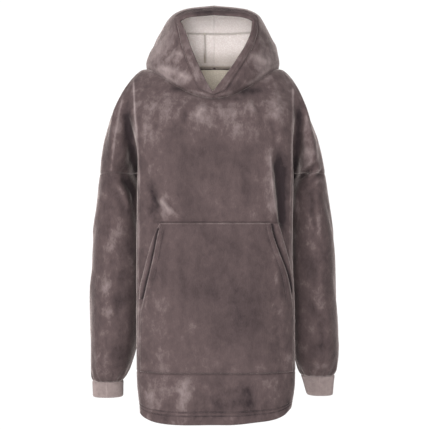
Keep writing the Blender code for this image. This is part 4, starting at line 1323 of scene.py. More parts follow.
    def gathers_at(self, side: Side, points: Array) -> Array:
        """Uneven gathers where a sleeve runs into its cuff.

        Args:
            side: which sleeve.
            points: the sleeve's points.

        Returns:
            One distance for each point.
        """
        generator = np.random.default_rng(31 + side.sign)
        row = SLEEVES[side].at(self.cuff_top[side])
        middle = np.array((side.sign * (row["outer"] + row["inner"]) / 2, row["mid_y"]))
        turn = np.arctan2(points[:, 1] - middle[1], points[:, 0] - middle[0])
        above = points[:, 2] - self.cuff_top[side]
        total = np.zeros(len(points))
        for k in range(self.gathers):
            centre = 2 * math.pi * (k + generator.uniform(-0.3, 0.3)) / self.gathers
            depth = generator.uniform(*self.gather_depth)
            length = generator.uniform(*self.gather_length)
            lean = generator.uniform(*self.gather_lean)
            away = np.angle(np.exp(1j * (turn - centre - lean * above)))
            spread = self.gather_spread * generator.uniform(0.7, 1.3) * (1 + above / 0.06)
            along = 1 - smooth_step(above, 0.25 * length, length)
            total -= depth * along * bell(away, spread) * smooth_step(above, -0.001, 0.006)
        return total + 0.0012 * (1 - smooth_step(above, 0.02, 0.06)) * (above > 0)

    def dress(self) -> tuple[Array, Array]:
        """Outer and inner points of the cloth with its creases, seams and turned hem.

        Returns:
            The outer and the inner side.
        """
        skin, points, normals = self.skin, self.skin.points, self.smooth_normals
        lift = sum(fold.lift(points, normals) for fold in CREASES)
        self.crease_lift = lift * (1 - self.under_pocket(points)) + self.large_lift
        lift += self.crease_ridge * crease_lines(points, normals, self.crease_half_width)
        lift += sum(crumple.at(points) for crumple in self.crumple)
        lift *= 1 - self.under_pocket(points)
        top = np.arange(6 * self.ring)
        from_neck = near_edge(points[top], np.arange(self.ring), self.neck_fade)
        lift[top] *= smooth_step(from_neck, 0.0, self.neck_fade)
        folded = lift.copy()
        for side in Side:
            chosen = np.unique(skin.of_piece(f"sleeve_{side.value}"))
            lift[chosen] += self.gathers_at(side, points[chosen])
            lift[np.unique(skin.of_piece(f"cuff_{side.value}"))] = 0.0
        lift -= self.stitch_dip * self.stitch_lines() + self.pocket_seam_dip * self.pocket_seams(points)
        lift[top] -= self.neck_dip(from_neck)
        self.seams = np.zeros(len(points))
        for name in ("body_front", "body_back", "sleeve_left", "sleeve_right"):
            quads = skin.of_piece(name)
            rim = np.unique(np.array(open_edges(quads)))
            rim = rim[(rim >= self.ring) & (points[rim, 2] > self.hem + 0.022)]
            chosen = np.unique(quads)
            away = near_edge(points[chosen], np.searchsorted(chosen, rim), 3 * self.seam_width)
            self.seams[chosen] = np.maximum(self.seams[chosen], bell(away, self.seam_width))
        lift -= self.seam_dip * self.seams
        outer = points + normals * lift[:, None]
        turned = (self.level < 0) * (1 - smooth_step(self.level, -0.836, -0.826))
        wall = self.wall + (self.hem_wall - self.wall) * turned
        for side in Side:
            wall[np.unique(skin.of_piece(f"cuff_{side.value}"))] = self.cuff_wall
        return outer, points + normals * (folded - wall)[:, None]

    def build(self) -> None:
        """Makes front, back and sleeves."""
        points = self.skin.points
        self.outer, inner = self.dress()
        # Painted light and shade: fold ridges lighter and troughs darker by their lift, painted shade along
        # the pocket's seams and the hem's stitches, and a faint painted highlight along the other seams
        nap = nap_light_and_shade_of(points, self.smooth_normals) + self.light_and_shade_by_lift * self.crease_lift
        uneven = 0.65 + Crumple(0.5, 0.018, 2, 93).at(points)
        nap -= (self.pocket_seam_shade * self.pocket_seams(points)
                + self.stitch_shade * self.stitch_lines()) * uneven
        nap += self.seam_highlight * self.seams * (self.on_body > 0)
        values = {"nap": np.clip(nap, -1, 1), "brushed": brushing_of(points)}
        for name, node in (("front_panel", "body_front"), ("back_panel", "body_back"),
                           ("sleeve_cloth_left", "sleeve_left"), ("sleeve_cloth_right", "sleeve_right")):
            obj = cloth_object(name, self.outer, inner, self.skin.of_piece(node),
                               (self.finishes.plush, self.finishes.backing), values)
            declare(obj, (node,))


# The hood's lines in metres, from 0 at the front of the neckline to 1 at its back
HOOD = Table(
    ("at", "edge_l", "edge_r", "edge_y", "edge_z",
     "leave_x", "leave_y", "leave_z", "rise_x", "rise_y", "rise_z"),
    (
        (0.0, 0.003, -0.003, -0.131, -0.062, 0.0, -0.002, -0.003, 0.0, -0.002, 0.004),
        (0.12, 0.017, 0.015, -0.13, -0.038, 0.014, -0.004, -0.004, -0.006, -0.012, 0.01),
        (0.25, 0.031, 0.036, -0.128, -0.01, 0.032, -0.002, -0.004, -0.008, -0.018, 0.022),
        (0.38, 0.046, 0.059, -0.124, 0.022, 0.054, 0.016, 0.0, -0.002, -0.01, 0.038),
        (0.5, 0.058, 0.077, -0.119, 0.05, 0.066, 0.034, 0.01, 0.002, 0.0, 0.056),
        (0.65, 0.071, 0.092, -0.112, 0.083, 0.056, 0.05, 0.028, 0.016, 0.018, 0.08),
        (0.78, 0.083, 0.096, -0.105, 0.109, 0.036, 0.056, 0.05, 0.028, 0.032, 0.098),
        (0.88, 0.06, 0.07, -0.102, 0.123, 0.02, 0.058, 0.066, 0.02, 0.038, 0.108),
        (1.0, 0.0, 0.0, -0.1, 0.129, 0.0, 0.06, 0.074, 0.0, 0.04, 0.112),
    ), 1.0)


@dataclass
class Hood:
    """The hood: side panels and rim strips outside, sherpa and its rim strips inside."""

    body: Body
    fullness: dict = field(default_factory=lambda: {-1: 1.0, 1: 0.86})
    band_width: float = 0.022
    band_most: float = 0.55
    facing_width: float = 0.042
    facing_most: float = 0.75
    half_columns: int = 160
    panel_rows: int = 60
    inside_rows: int = 80
    strip_rows: int = 16
    roll_rows: int = 9
    roll: float = 0.0033
    stitch_in: float = 0.012
    join_x: float = -0.024
    join_z: tuple[float, float] = (0.037, 0.112)
    wall: float = 0.003
    layer_gap: float = 0.0003
    seam_dip: float = 0.0015
    seam_width: float = 0.004
    curl_height: float = 0.0011
    allowance: float = 0.006
    facing_seam_z: float = 0.1125
    crumple: Crumple = Crumple(0.0008, 0.04, 3, 21)
    strip_crumple: Crumple = Crumple(0.0005, 0.012, 2, 23)
    lining_crumple: Crumple = Crumple(0.001, 0.05, 2, 63)
    puff: float = 0.0016
    groove_depth: float = 0.002
    light_and_shade_by_lift: float = 110.0
    seam_shade: float = 0.3
    neck_highlight: float = 0.3
    stitch_dip: float = 0.0012

    def meridian(self, sign: int, angle: float) -> tuple[Array, Array]:
        """A fine line from the neckline to the opening's edge, and how far along each point is.

        Args:
            sign: the side.
            angle: degrees round the neckline from the front.

        Returns:
            Points and distances.
        """
        row = HOOD.at(angle / 180)
        neck = np.array(self.body.neck_point(angle, sign))
        edge = np.array((sign * (row["edge_l"] if sign < 0 else row["edge_r"]), row["edge_y"], row["edge_z"]))
        full = sign * self.fullness[sign]
        near_edge_point = edge + (full * row["leave_x"], row["leave_y"], row["leave_z"])
        near_neck = neck + (full * row["rise_x"], row["rise_y"], row["rise_z"])
        t = np.linspace(0, 1, 121)[:, None]
        line = (neck * (1 - t) ** 3 + 3 * near_neck * (1 - t) ** 2 * t
                + 3 * near_edge_point * (1 - t) * t**2 + edge * t**3)
        reach = np.concatenate([[0], np.cumsum(np.linalg.norm(np.diff(line, axis=0), axis=1))])
        return line, reach

    def __post_init__(self) -> None:
        """Works out the surface that all the hood's pieces are laid on."""
        step = 180 / self.half_columns
        angles = [step * k for k in range(self.half_columns + 1)]
        ring = [(-1, a) for a in angles] + [(1, a) for a in angles[-2:0:-1]]
        lines, reaches = zip(*(self.meridian(sign, angle) for sign, angle in ring))
        self.lines, self.reaches = np.array(lines), np.array(reaches)
        self.whole = self.reaches[:, -1] - self.roll
        self.band_edge = self.whole - np.minimum(self.band_width, self.band_most * self.whole)
        self.facing_edge = self.whole - np.minimum(self.facing_width, self.facing_most * self.whole)
        self.left = np.arange(self.half_columns + 1)
        self.right = np.append(np.arange(self.half_columns, len(ring)), 0)
        self.neck_normals = np.zeros((len(ring), 3))
        foot = self.surface(np.linspace(0, 0.003, 3)[:, None] * np.ones(len(ring)))[1][0]
        signed = np.array([sign * angle for sign, angle in ring])
        self.neck_normals = self.body.share_neck(signed, foot)

    def surface(self, distances: Array) -> tuple[Array, Array, Array]:
        """Points on the surface at given distances up each column.

        Args:
            distances: rows of distances, one for each column.

        Returns:
            Points, outward normals, and directions up the columns.
        """
        points = np.empty(distances.shape + (3,))
        for column, (line, reach) in enumerate(zip(self.lines, self.reaches)):
            for axis in range(3):
                points[:, column, axis] = np.interp(distances[:, column], reach, line[:, axis])
        up = np.gradient(points, axis=0)
        around = np.roll(points, -1, axis=1) - np.roll(points, 1, axis=1)
        normals = unit(np.cross(up, around))
        shared = (1 - smooth_step(distances, 0.0, self.body.neck_fade))[..., None]
        shared = shared * np.any(self.neck_normals)
        return points, unit(normals * (1 - shared) + self.neck_normals * shared), unit(up)

    def creased(self, points: Array, normals: Array) -> Array:
        """Lift of the hood's creases and crumple at rows of points."""
        flat, flat_normals = points.reshape(-1, 3), normals.reshape(-1, 3)
        lift = sum(fold.lift(flat, flat_normals) for fold in HOOD_CREASES)
        lift += self.crumple.at(flat)
        return lift.reshape(points.shape[:2])

    def add_half(self, name: str, node: str, columns: Array, sides: tuple[Array, Array, Array],
                 finish: tuple[Material, Material],
                 inwards: bool = False) -> None:
        """Makes one half of a zone of the hood.

        Args:
            name: the piece's name.
            node: the node it stands for.
            columns: which of the ring's columns it takes.
            sides: rows of points of its seen and its hidden side, and a tone for each point.
            finish: the materials of the two sides.
            inwards: whether the seen side looks into the hood.
        """
        seen, hidden = (side[:, columns].reshape(-1, 3) for side in sides[:2])
        tone = sides[2][:, columns].ravel()
        quads = grid_quads(sides[0].shape[0], len(columns))
        if inwards:
            quads = quads[:, ::-1]
        normals = face_normals_at(seen, quads)
        # On the sherpa the nap attribute is painted shade only; on the plush it is the nap's tone with
        # painted light and shade
        nap = tone if inwards else np.clip(nap_light_and_shade_of(seen, normals) + tone + 0.12, -1, 1)
        values = {"nap": nap, "brushed": np.full(len(seen), 0.6)}
        declare(cloth_object(name, seen, hidden, quads, finish, values), (node,))

    def seam(self, away: Array) -> Array:
        """The dip of the cloth at a distance from a seam."""
        return self.seam_dip * bell(away, self.seam_width)

    def build(self) -> None:
        """Makes the hood's eight pieces."""
        finishes = self.body.finishes
        plush, sherpa = (finishes.plush, finishes.plush), (finishes.sherpa, finishes.backing)
        share = np.linspace(0, 1, self.panel_rows)[:, None]
        distances = share * self.band_edge
        points, normals, _ = self.surface(distances)
        lift = self.creased(points, normals) * smooth_step(distances, 0.0, self.body.neck_fade)
        lift -= self.body.neck_dip(distances) + self.seam(self.band_edge - distances)
        lift -= self.seam(np.abs(points[..., 0])) * (points[..., 1] > 0)
        # Painted light and shade: fold ridges lighter and troughs darker by their lift, painted shade along
        # the band's seam, and a painted highlight on the cloth just above the neck seam
        tone = (self.light_and_shade_by_lift * self.creased(points, normals)
                - self.seam_shade * self.seam(self.band_edge - distances) / self.seam_dip)
        tone += self.neck_highlight * bell(distances - 0.008, 0.005)
        under = points - normals * self.wall
        under[0] -= unit(under[1] - under[0]) * self.allowance
        panel = (points + normals * lift[..., None], under, tone)

        strip = self.strip()
        depth = self.wall + self.layer_gap
        low = self.inside(np.linspace(0, 1, self.inside_rows)[:, None] * self.facing_edge, depth)
        rest = np.linspace(0, 1, self.strip_rows)[:, None]
        rim = self.inside(self.facing_edge + rest * (self.whole - 0.001 - self.facing_edge), depth)
        for side, columns in (("left", self.left), ("right", self.right)):
            self.add_half(f"hood_panel_{side}", f"hood_side_{side}", columns, panel, plush)
            self.add_half(f"hood_strip_{side}", f"hood_band_{side}", columns, strip, plush)
            self.add_half(f"hood_sherpa_{side}", f"hood_lining_{side}", columns, low, sherpa, True)
            self.add_half(f"hood_sherpa_strip_{side}", f"hood_facing_{side}", columns, rim, sherpa,
                          True)

    def strip(self) -> tuple[Array, Array, Array]:
        """Both sides and the tone of the strip that rolls over the opening's rim and ends just inside."""
        straight = np.linspace(0, 1, self.strip_rows)[:, None]
        distances = self.band_edge + straight * (self.whole - self.band_edge)
        points, normals, up = self.surface(distances)
        puff = self.puff * np.sin(np.pi * np.clip(straight * 1.15, 0, 1)) ** 0.7
        lift = puff + self.strip_crumple.at(points.reshape(-1, 3)).reshape(points.shape[:2])
        lift -= self.seam(distances - self.band_edge)
        lift -= self.stitch_dip * bell(distances - self.whole + self.stitch_in, 0.0014)
        outer = points + normals * lift[..., None]
        end, normal, way = points[-1], normals[-1], up[-1]
        radius = self.roll
        centre = end - normal * radius
        turn = np.linspace(0, np.pi, self.roll_rows)[1:, None, None]
        rolled = centre + radius * (normal * np.cos(turn) + way * np.sin(turn))
        hidden_roll = centre + 0.4 * radius * (normal * np.cos(turn) + way * np.sin(turn))
        lip = np.array([0.0015, 0.003, 0.0042])[:, None, None]
        sunk = np.array([0.0, 0.0003, 0.0012])[:, None, None]
        inside = rolled[-1] - way * lip + normal * sunk
        hidden_inside = hidden_roll[-1] - way * lip + normal * sunk * 0.2
        hidden = points - normals * (0.6 * radius)
        tone = np.zeros((len(outer) + len(rolled) + len(inside), outer.shape[1]))
        tone[:len(outer)] -= self.seam_shade * self.seam(distances - self.band_edge) / self.seam_dip
        # Painted highlight on the cloth rolled round the rim
        tone[len(outer):] += 0.1
        return (np.concatenate([outer, rolled, inside]),
                np.concatenate([hidden, hidden_roll, hidden_inside]), tone)

    def inside(self, distances: Array, depth: float) -> tuple[Array, Array, Array]:
        """Sherpa on the inside, with its curls, its joins and its seams.

        Args:
            distances: rows of distances up the columns.
            depth: how far its hidden side lies under the outside.

        Returns:
            Its seen and its hidden side, and its painted shade as a tone.
        """
        points, normals, _ = self.surface(distances)
        flat = points.reshape(-1, 3)
        curls = self.curl_height * (0.65 * lattice_noise(flat, 0.0042, 61)
                                    + 0.35 * lattice_noise(flat, 0.0075, 62))
        rise = curls.reshape(points.shape[:2]) + self.lining_crumple.at(flat).reshape(points.shape[:2])
        ends = self.seam(distances[-1] - distances) + self.seam(distances - distances[0])
        rise -= ends
        x, y, z = points[..., 0], points[..., 1], points[..., 2]
        back = (y > 0.0) & (z > self.join_z[0]) & (z < self.join_z[1])
        groove = 0.9 * bell(x - self.join_x, 0.0026) * back
        groove = groove + 0.7 * bell(x, 0.0024) * (distances > self.facing_edge) * (z > 0.05)
        groove = groove + 0.8 * bell(z - self.facing_seam_z, 0.0022) * (y > 0.0)
        rise -= self.groove_depth * groove
        # Painted shade in the grooves of joins and seams, at both ends, and low in the hood towards the neck,
        # where the hood's sides shade its inside
        tone = -0.9 * groove - 0.55 * ends / self.seam_dip
        tone -= 0.55 * (1 - smooth_step(z, 0.035, 0.085)) * (y > -0.03)
        seen = points - normals * (depth + self.wall + rise)[..., None]
        return seen, points - normals * depth, np.clip(tone, -1, 0)


@dataclass
class Pocket:
    """The front pocket with its rolled opening hems, and the strips under its two openings."""

    body: Body
    table: Table = Table(("z", "left", "right", "gape", "show_left", "show_right"), (
        (-376.5, 126, 134.5, 0, 1, 16.5), (-405, 133, 140, 8, 8, 21),
        (-445, 140.5, 153.5, 13, 13.5, 19), (-486, 149.6, 169, 12, 15, 13),
        (-526, 159.8, 180, 8, 14.5, 7), (-560, 167, 185, 5, 9.5, 2), (-600, 174, 188, 2, 2, 1),
        (-733.5, 176, 188, 0, 0, 0),
    ))
    columns: int = 96
    strip_columns: int = 24
    clearance: float = 0.0013
    wall: float = 0.003
    bulge: float = 0.0135
    hem_in: float = 0.013
    hem_rise: float = 0.0016
    strip_clearance: float = 0.0018
    strip_wall: float = 0.0015
    strip_hidden: float = 0.018
    strip_top: float = -0.378
    strip_bottom: float = -0.56
    crumple: tuple[Crumple, ...] = (Crumple(0.001, 0.055, 3, 33), Crumple(0.0003, 0.012, 2, 34))
    stitch_dip: float = 0.0012
    edge_radius: float = 0.0035
    edge_highlight: float = 0.55
    bottom_shade: float = 0.5
    hem_shade: float = 0.25

    def heights(self) -> list[float]:
        """The rows of the front that the pocket lies on."""
        return [z for z in self.body.lower_rows if self.body.pocket_bottom <= z <= self.body.pocket_top]

    def along(self, z: float, xs: Array) -> tuple[Array, Array]:
        """Places and normals of the front at one height.

        Args:
            z: the height of one of the body's rows.
            xs: where on that row.

        Returns:
            Places and normals.
        """
        line, normal = self.body.front_row(z)
        low, high = self.body.torso_steps[0], 2 * self.body.torso - self.body.torso_steps[0]
        at = np.interp(xs, line[low:high + 1, 0], np.arange(low, high + 1))
        columns = np.arange(len(line))
        place = np.column_stack([np.interp(at, columns, line[:, axis]) for axis in range(3)])
        way = np.column_stack([np.interp(at, columns, normal[:, axis]) for axis in range(3)])
        return place, unit(way)

    def build(self) -> None:
        """Makes the pocket and its two strips."""
        finishes = self.body.finishes
        pocket_top, pocket_bottom = self.body.pocket_top, self.body.pocket_bottom
        share = np.linspace(-1, 1, self.columns)
        share = 0.5 + 0.5 * np.sign(share) * (1 - (1 - np.abs(share)) ** 1.35)
        places, ways, lifts, edge_distances = [], [], [], []
        for z in self.heights():
            edge = self.table.at(z)
            width = edge["left"] + edge["right"]
            place, way = self.along(z, -edge["left"] + width * share)
            way[:, 0] *= 1 - 0.85 * smooth_step(np.array([z]), pocket_bottom + 0.1, pocket_bottom + 0.2)[0]
            way = unit(way)
            down = (pocket_top - z) / (pocket_top - pocket_bottom)
            belly = self.bulge * max(math.sin(math.pi * down), 0.0) ** (0.6 if down < 0.5 else 0.8)
            side = np.abs(2 * share - 1) ** 3
            away = np.minimum(share, 1 - share) * width
            lift = belly * (1 - side) + edge["gape"] * side + self.clearance + self.wall
            for rows, row in ((places, place), (ways, way), (lifts, lift), (edge_distances, away)):
                rows.append(row)
        place, way = np.vstack(places), np.vstack(ways)
        lift, away = np.concatenate(lifts), np.concatenate(edge_distances)
        z = place[:, 2]
        below, above = pocket_top - z, z - pocket_bottom
        open_side = smooth_step(above, 0.15, 0.18) * smooth_step(below, 0.0, 0.02)
        quads = grid_quads(len(places), self.columns)
        normals = face_normals_at(place + way * lift[:, None], quads)
        extra = sum(fold.lift(place, normals) for fold in POCKET_CREASES)
        extra += sum(crumple.at(place) for crumple in self.crumple)
        extra += self.hem_rise * bell(away - 0.006, 0.006) * (0.35 + 0.65 * open_side)
        extra -= 0.0016 * bell(away - self.hem_in, 0.0022) * open_side
        extra -= self.stitch_dip * bell(below - 0.0065, 0.002)
        extra -= self.stitch_dip * bell(above - 0.006, 0.002)
        nearest = np.minimum(np.minimum(away, below), above)
        round_off = 1 - np.sqrt(np.clip(1 - (1 - np.clip(nearest / self.edge_radius, 0, 1)) ** 2, 0, 1))
        top = lift + extra * np.clip(nearest / 0.004, 0, 1) - 0.7 * self.wall * round_off
        seen = place + way * top[:, None]
        hidden = place + way * (lift - self.wall)[:, None]
        # Painted highlight along the top edge and the openings' rims, painted shade along the bottom seam and
        # the openings' stitch lines
        rim = bell(np.minimum(away + 0.02 * (1 - open_side), below), 0.0022)
        nap = nap_light_and_shade_of(place, normals) + self.edge_highlight * rim - self.bottom_shade * bell(above, 0.0024)
        nap -= self.hem_shade * bell(away - self.hem_in, 0.0026) * open_side
        values = {"nap": np.clip(nap, -1, 1), "brushed": brushing_of(place)}
        panel = cloth_object("pocket_panel", seen, hidden, quads, (finishes.plush, finishes.backing), values)
        declare(panel, ("pocket",))
        grid = seen.reshape(len(places), self.columns, 3)
        self.grid, self.grid_normals = grid, normals.reshape(grid.shape)
        for side in Side:
            self.build_strip(side)

    def build_strip(self, side: Side) -> None:
        """Makes the strip under one opening.

        Args:
            side: which opening.
        """
        finishes = self.body.finishes
        zs = [z for z in self.body.lower_rows if self.strip_bottom <= z <= self.strip_top]
        places, ways, shares, tones = [], [], [], []
        for z in zs:
            edge = self.table.at(z)[side.value]
            shows = self.table.at(z)[f"show_{side.value}"]
            inner, outer = edge - self.strip_hidden, edge + shows
            span = (-outer, -inner) if side is Side.LEFT else (inner, outer)
            place, way = self.along(z, np.linspace(*span, self.strip_columns))
            places.append(place)
            ways.append(way)
            share = np.linspace(0, 1, self.strip_columns)
            shares.append(share if side is Side.RIGHT else 1 - share)
            beyond = np.linspace(inner, outer, self.strip_columns) - edge
            # Painted shadow in the gap beside the opening's edge, and a painted highlight on the strip's
            # outer edge
            tone = 0.15 - 1.1 * bell(beyond - 0.002, 0.0042) * (shows > 0.004)
            tone += 0.35 * bell(beyond - shows, 0.0024)
            tones.append(tone if side is Side.RIGHT else tone[::-1])
        place, way, share = np.vstack(places), np.vstack(ways), np.concatenate(shares)
        quads = grid_quads(len(zs), self.strip_columns)
        lift = self.strip_clearance + self.strip_wall + 0.0012 * bell(share - 0.88, 0.12)
        normals = face_normals_at(place, quads)
        values = {"nap": np.clip(np.concatenate(tones), -1, 1), "brushed": np.full(len(place), 0.3)}
        seen, hidden = place + normals * lift[:, None], place + way * self.strip_clearance
        obj = cloth_object(f"pocket_edge_{side.value}", seen, hidden, quads,
                           (finishes.plush, finishes.backing), values)
        declare(obj, (f"pocket_facing_{side.value}",))


HOOD_CREASES = (
    folds(
        Facing.FRONT,
        (-136, 34, -92, 98, 9, 1.6, 6), (-128, 22, -86, 62, 7, -2.2, -4),
        (-140, -2, -64, -30, 8, 2.4, 6), (-118, 10, -62, -6, 6, -2, 4), (-100, 44, -72, 20, 6, 1.8),
        (-98, -38, -40, -66, 6, 1.8, 3), (110, 92, 128, 30, 9, -2.2, 4), (98, 30, 146, 12, 8, 2.2, -4),
        (80, 6, 132, -16, 7, -2, -4), (62, -30, 120, -44, 6, 2, -3), (98, 60, 120, 72, 7, 1.4),
    )
    + folds(
        Facing.LEFT,
        (-20, 80, 50, 30, 12, -2.4, 6), (20, 110, 80, 40, 13, 2.2, -8),
    )
    + folds(
        Facing.RIGHT,
        (-16, 72, 54, 24, 12, 2.4, 6), (24, 104, 84, 34, 13, -2.2, -8),
    )
    + folds(
        Facing.BACK,
        (-80, 110, -100, 30, 12, 2.8, 6), (74, 100, 104, 34, 12, -2.8, -6),
    )
)

# The pocket hangs a little slack: shallow drags from its upper corners and up from its lower seam
POCKET_CREASES = folds(
    Facing.FRONT,
    (94, -384, 104, -452, 7, -1.6, 4), (50, -382, 46, -430, 8, 1.2),
    (-96, -386, -120, -470, 10, 1.8, -4), (-70, -390, -80, -500, 12, -1.2, 4),
    (120, -470, 140, -600, 12, -1.6, 6), (-140, -560, -120, -720, 14, 2, 6),
    (-60, -640, -50, -728, 16, 1.6), (30, -560, 40, -728, 20, -1.6, 6), (110, -640, 120, -730, 13, 2.2),
    (150, -620, 162, -728, 10, -2),
)


def node_group(name: str, sockets: tuple[tuple[str, str], ...]) -> tuple[NodeTree, Node]:
    """A geometry tree with named inputs.

    Args:
        name: its name.
        sockets: the name and the type of each input after the geometry.

    Returns:
        The tree and its input node.
    """
    tree = bpy.data.node_groups.new(name, "GeometryNodeTree")
    tree.interface.new_socket(name="Geometry", in_out="INPUT", socket_type="NodeSocketGeometry")
    for label, kind in sockets:
        tree.interface.new_socket(name=label, in_out="INPUT", socket_type=kind)
    tree.interface.new_socket(name="Geometry", in_out="OUTPUT", socket_type="NodeSocketGeometry")
    return tree, tree.nodes.new("NodeGroupInput")


def close_group(tree: NodeTree, geometry: NodeSocket,
                material: NodeSocket) -> None:
    """Ends a geometry tree: instances become real and take their material.

    Args:
        tree: the tree.
        geometry: what it made.
        material: the material.
    """
    real = add_node(tree, "GeometryNodeRealizeInstances", {}, {0: geometry})
    painted = add_node(tree, "GeometryNodeSetMaterial", {}, {0: real.outputs[0], "Material": material})
    add_node(tree, "NodeGroupOutput", {}, {0: painted.outputs[0]})


def make_plain(obj: Object, tree: NodeTree, values: dict) -> None:
    """Runs a geometry tree on an object once and keeps the result as its mesh.

    Args:
        obj: the object.
        tree: the tree.
        values: its named inputs.
    """
    modifier = obj.modifiers.new(tree.name, "NODES")
    modifier.node_group = tree
    for item in tree.interface.items_tree:
        if item.in_out == "INPUT" and item.name in values:
            modifier[item.identifier] = values[item.name]
    bpy.context.view_layer.update()
    evaluated = obj.evaluated_get(bpy.context.evaluated_depsgraph_get())
    mesh = bpy.data.meshes.new_from_object(evaluated)
    obj.modifiers.clear()
    obj.data = mesh
    obj.data.shade_smooth()


def rib_tree() -> NodeTree:
    """Raises ribs: each point moves along its out attribute by a wave of its phase attribute."""
    tree, start = node_group("raise_ribs", (("Depth", "NodeSocketFloat"), ("Material", "NodeSocketMaterial")))
    add = partial(add_node, tree)
    out = add("GeometryNodeInputNamedAttribute", {"data_type": "FLOAT_VECTOR"}, {"Name": "out"})
    phase = add("GeometryNodeInputNamedAttribute", {"data_type": "FLOAT"}, {"Name": "phase"})
    turn = add("ShaderNodeMath", {"operation": "MULTIPLY"}, {0: phase, 1: 2 * math.pi})
    wave = add("ShaderNodeMath", {"operation": "COSINE"}, {0: turn})
    height = add("ShaderNodeMath", {"operation": "MULTIPLY"}, {
        0: wave, 1: start.outputs["Depth"]})
    offset = add("ShaderNodeVectorMath", {"operation": "SCALE"}, {
        0: out, "Scale": height})
    share = add("ShaderNodeMath", {"operation": "MULTIPLY_ADD"}, {
        0: wave, 1: 0.5, 2: 0.5})
    named = add("GeometryNodeStoreNamedAttribute", {"data_type": "FLOAT", "domain": "POINT"}, {
        "Geometry": start.outputs["Geometry"], "Name": "rib", "Value": share})
    moved = add("GeometryNodeSetPosition", {}, {
        "Geometry": named, "Offset": offset})
    close_group(tree, moved.outputs[0], start.outputs["Material"])
    return tree


def stitch_tree() -> NodeTree:
    """Lays stitches end to end along the edges of a mesh, standing on its out attribute."""
    tree, start = node_group("lay_stitches", (
        ("Pitch", "NodeSocketFloat"), ("Length", "NodeSocketFloat"), ("Width", "NodeSocketFloat"),
        ("Material", "NodeSocketMaterial")))
    add = partial(add_node, tree)
    line = add("GeometryNodeMeshToCurve", {}, {0: start.outputs["Geometry"]})
    even = add("GeometryNodeResampleCurve", {"mode": "LENGTH"}, {
        "Curve": line, "Length": start.outputs["Pitch"]})
    out = add("GeometryNodeInputNamedAttribute", {"data_type": "FLOAT_VECTOR"}, {"Name": "out"})
    tangent = add("GeometryNodeInputTangent")
    along = add("FunctionNodeAlignRotationToVector", {"axis": "X"}, {"Vector": tangent})
    upright = add("FunctionNodeAlignRotationToVector", {"axis": "Z", "pivot_axis": "X"}, {
        "Rotation": along, "Vector": out})
    ball = add("GeometryNodeMeshUVSphere", {}, {"Segments": 6, "Rings": 5, "Radius": 0.5})
    size = add("ShaderNodeCombineXYZ", {}, {
        0: start.outputs["Length"], 1: start.outputs["Width"], 2: start.outputs["Width"]})
    placed = add("GeometryNodeInstanceOnPoints", {}, {
        "Points": even, "Instance": ball, "Rotation": upright, "Scale": size})
    close_group(tree, placed.outputs[0], start.outputs["Material"])
    return tree


@dataclass
class Cuffs:
    """Two tubes of rib knit under the gathered sleeves."""

    body: Body
    ribs: int = 96
    columns_per_rib: int = 6
    rows: int = 15
    depth: float = 0.0006
    crumple: Crumple = Crumple(0.0004, 0.02, 2, 51)

    def build(self) -> None:
        """Makes both cuffs."""
        tree = rib_tree()
        for side in Side:
            self.build_one(side, tree)

    def build_one(self, side: Side, tree: NodeTree) -> None:
        """Makes one cuff.

        Args:
            side: which one.
            tree: what raises its ribs.
        """
        rib = self.body.finishes.rib
        count = self.ribs * self.columns_per_rib
        across, along = squared_circle(2 * math.pi * np.arange(count) / count)
        top, bottom = self.body.cuff_top[side], self.body.cuff_bottom[side]
        rows = []
        for z in np.linspace(top - 0.0004, bottom, self.rows):
            row = SLEEVES[side].at(z)
            mid_x, half_width = (row["outer"] + row["inner"]) / 2, (row["outer"] - row["inner"]) / 2
            rows.append(np.column_stack([side.sign * mid_x + half_width * across,
                                         row["mid_y"] + row["half_depth"] * along, np.full(count, z)]))
        points = np.vstack(rows)
        quads = grid_quads(self.rows, count, closed=True)
        normals = face_normals_at(points, quads)
        below = np.repeat(np.linspace(0, 1, self.rows), count)
        edge = np.clip((1 - below) * (top - bottom) / 0.003, 0, 1)
        pull = np.clip(below * (top - bottom) / 0.004, 0, 1)
        sink = 0.0011 * (1 - np.sqrt(1 - (1 - edge) ** 2)) + 0.0016 * (1 - pull)
        points_out = points + normals * (self.crumple.at(points) - sink)[:, None]
        inner = points - normals * (self.body.cuff_wall - 0.0004 * (1 - edge))[:, None]
        phase = np.tile(np.arange(count) / self.columns_per_rib, self.rows)
        obj = cloth_object(f"rib_cuff_{side.value}", points_out, inner, quads, (rib, rib), {"phase": phase})
        outwards = obj.data.attributes.new("out", "FLOAT_VECTOR", "POINT")
        outwards.data.foreach_set("vector", np.vstack([normals, 0.3 * normals]).ravel().astype(np.float32))
        make_plain(obj, tree, {"Depth": self.depth, "Material": rib})
        declare(obj, (f"cuff_{side.value}",))


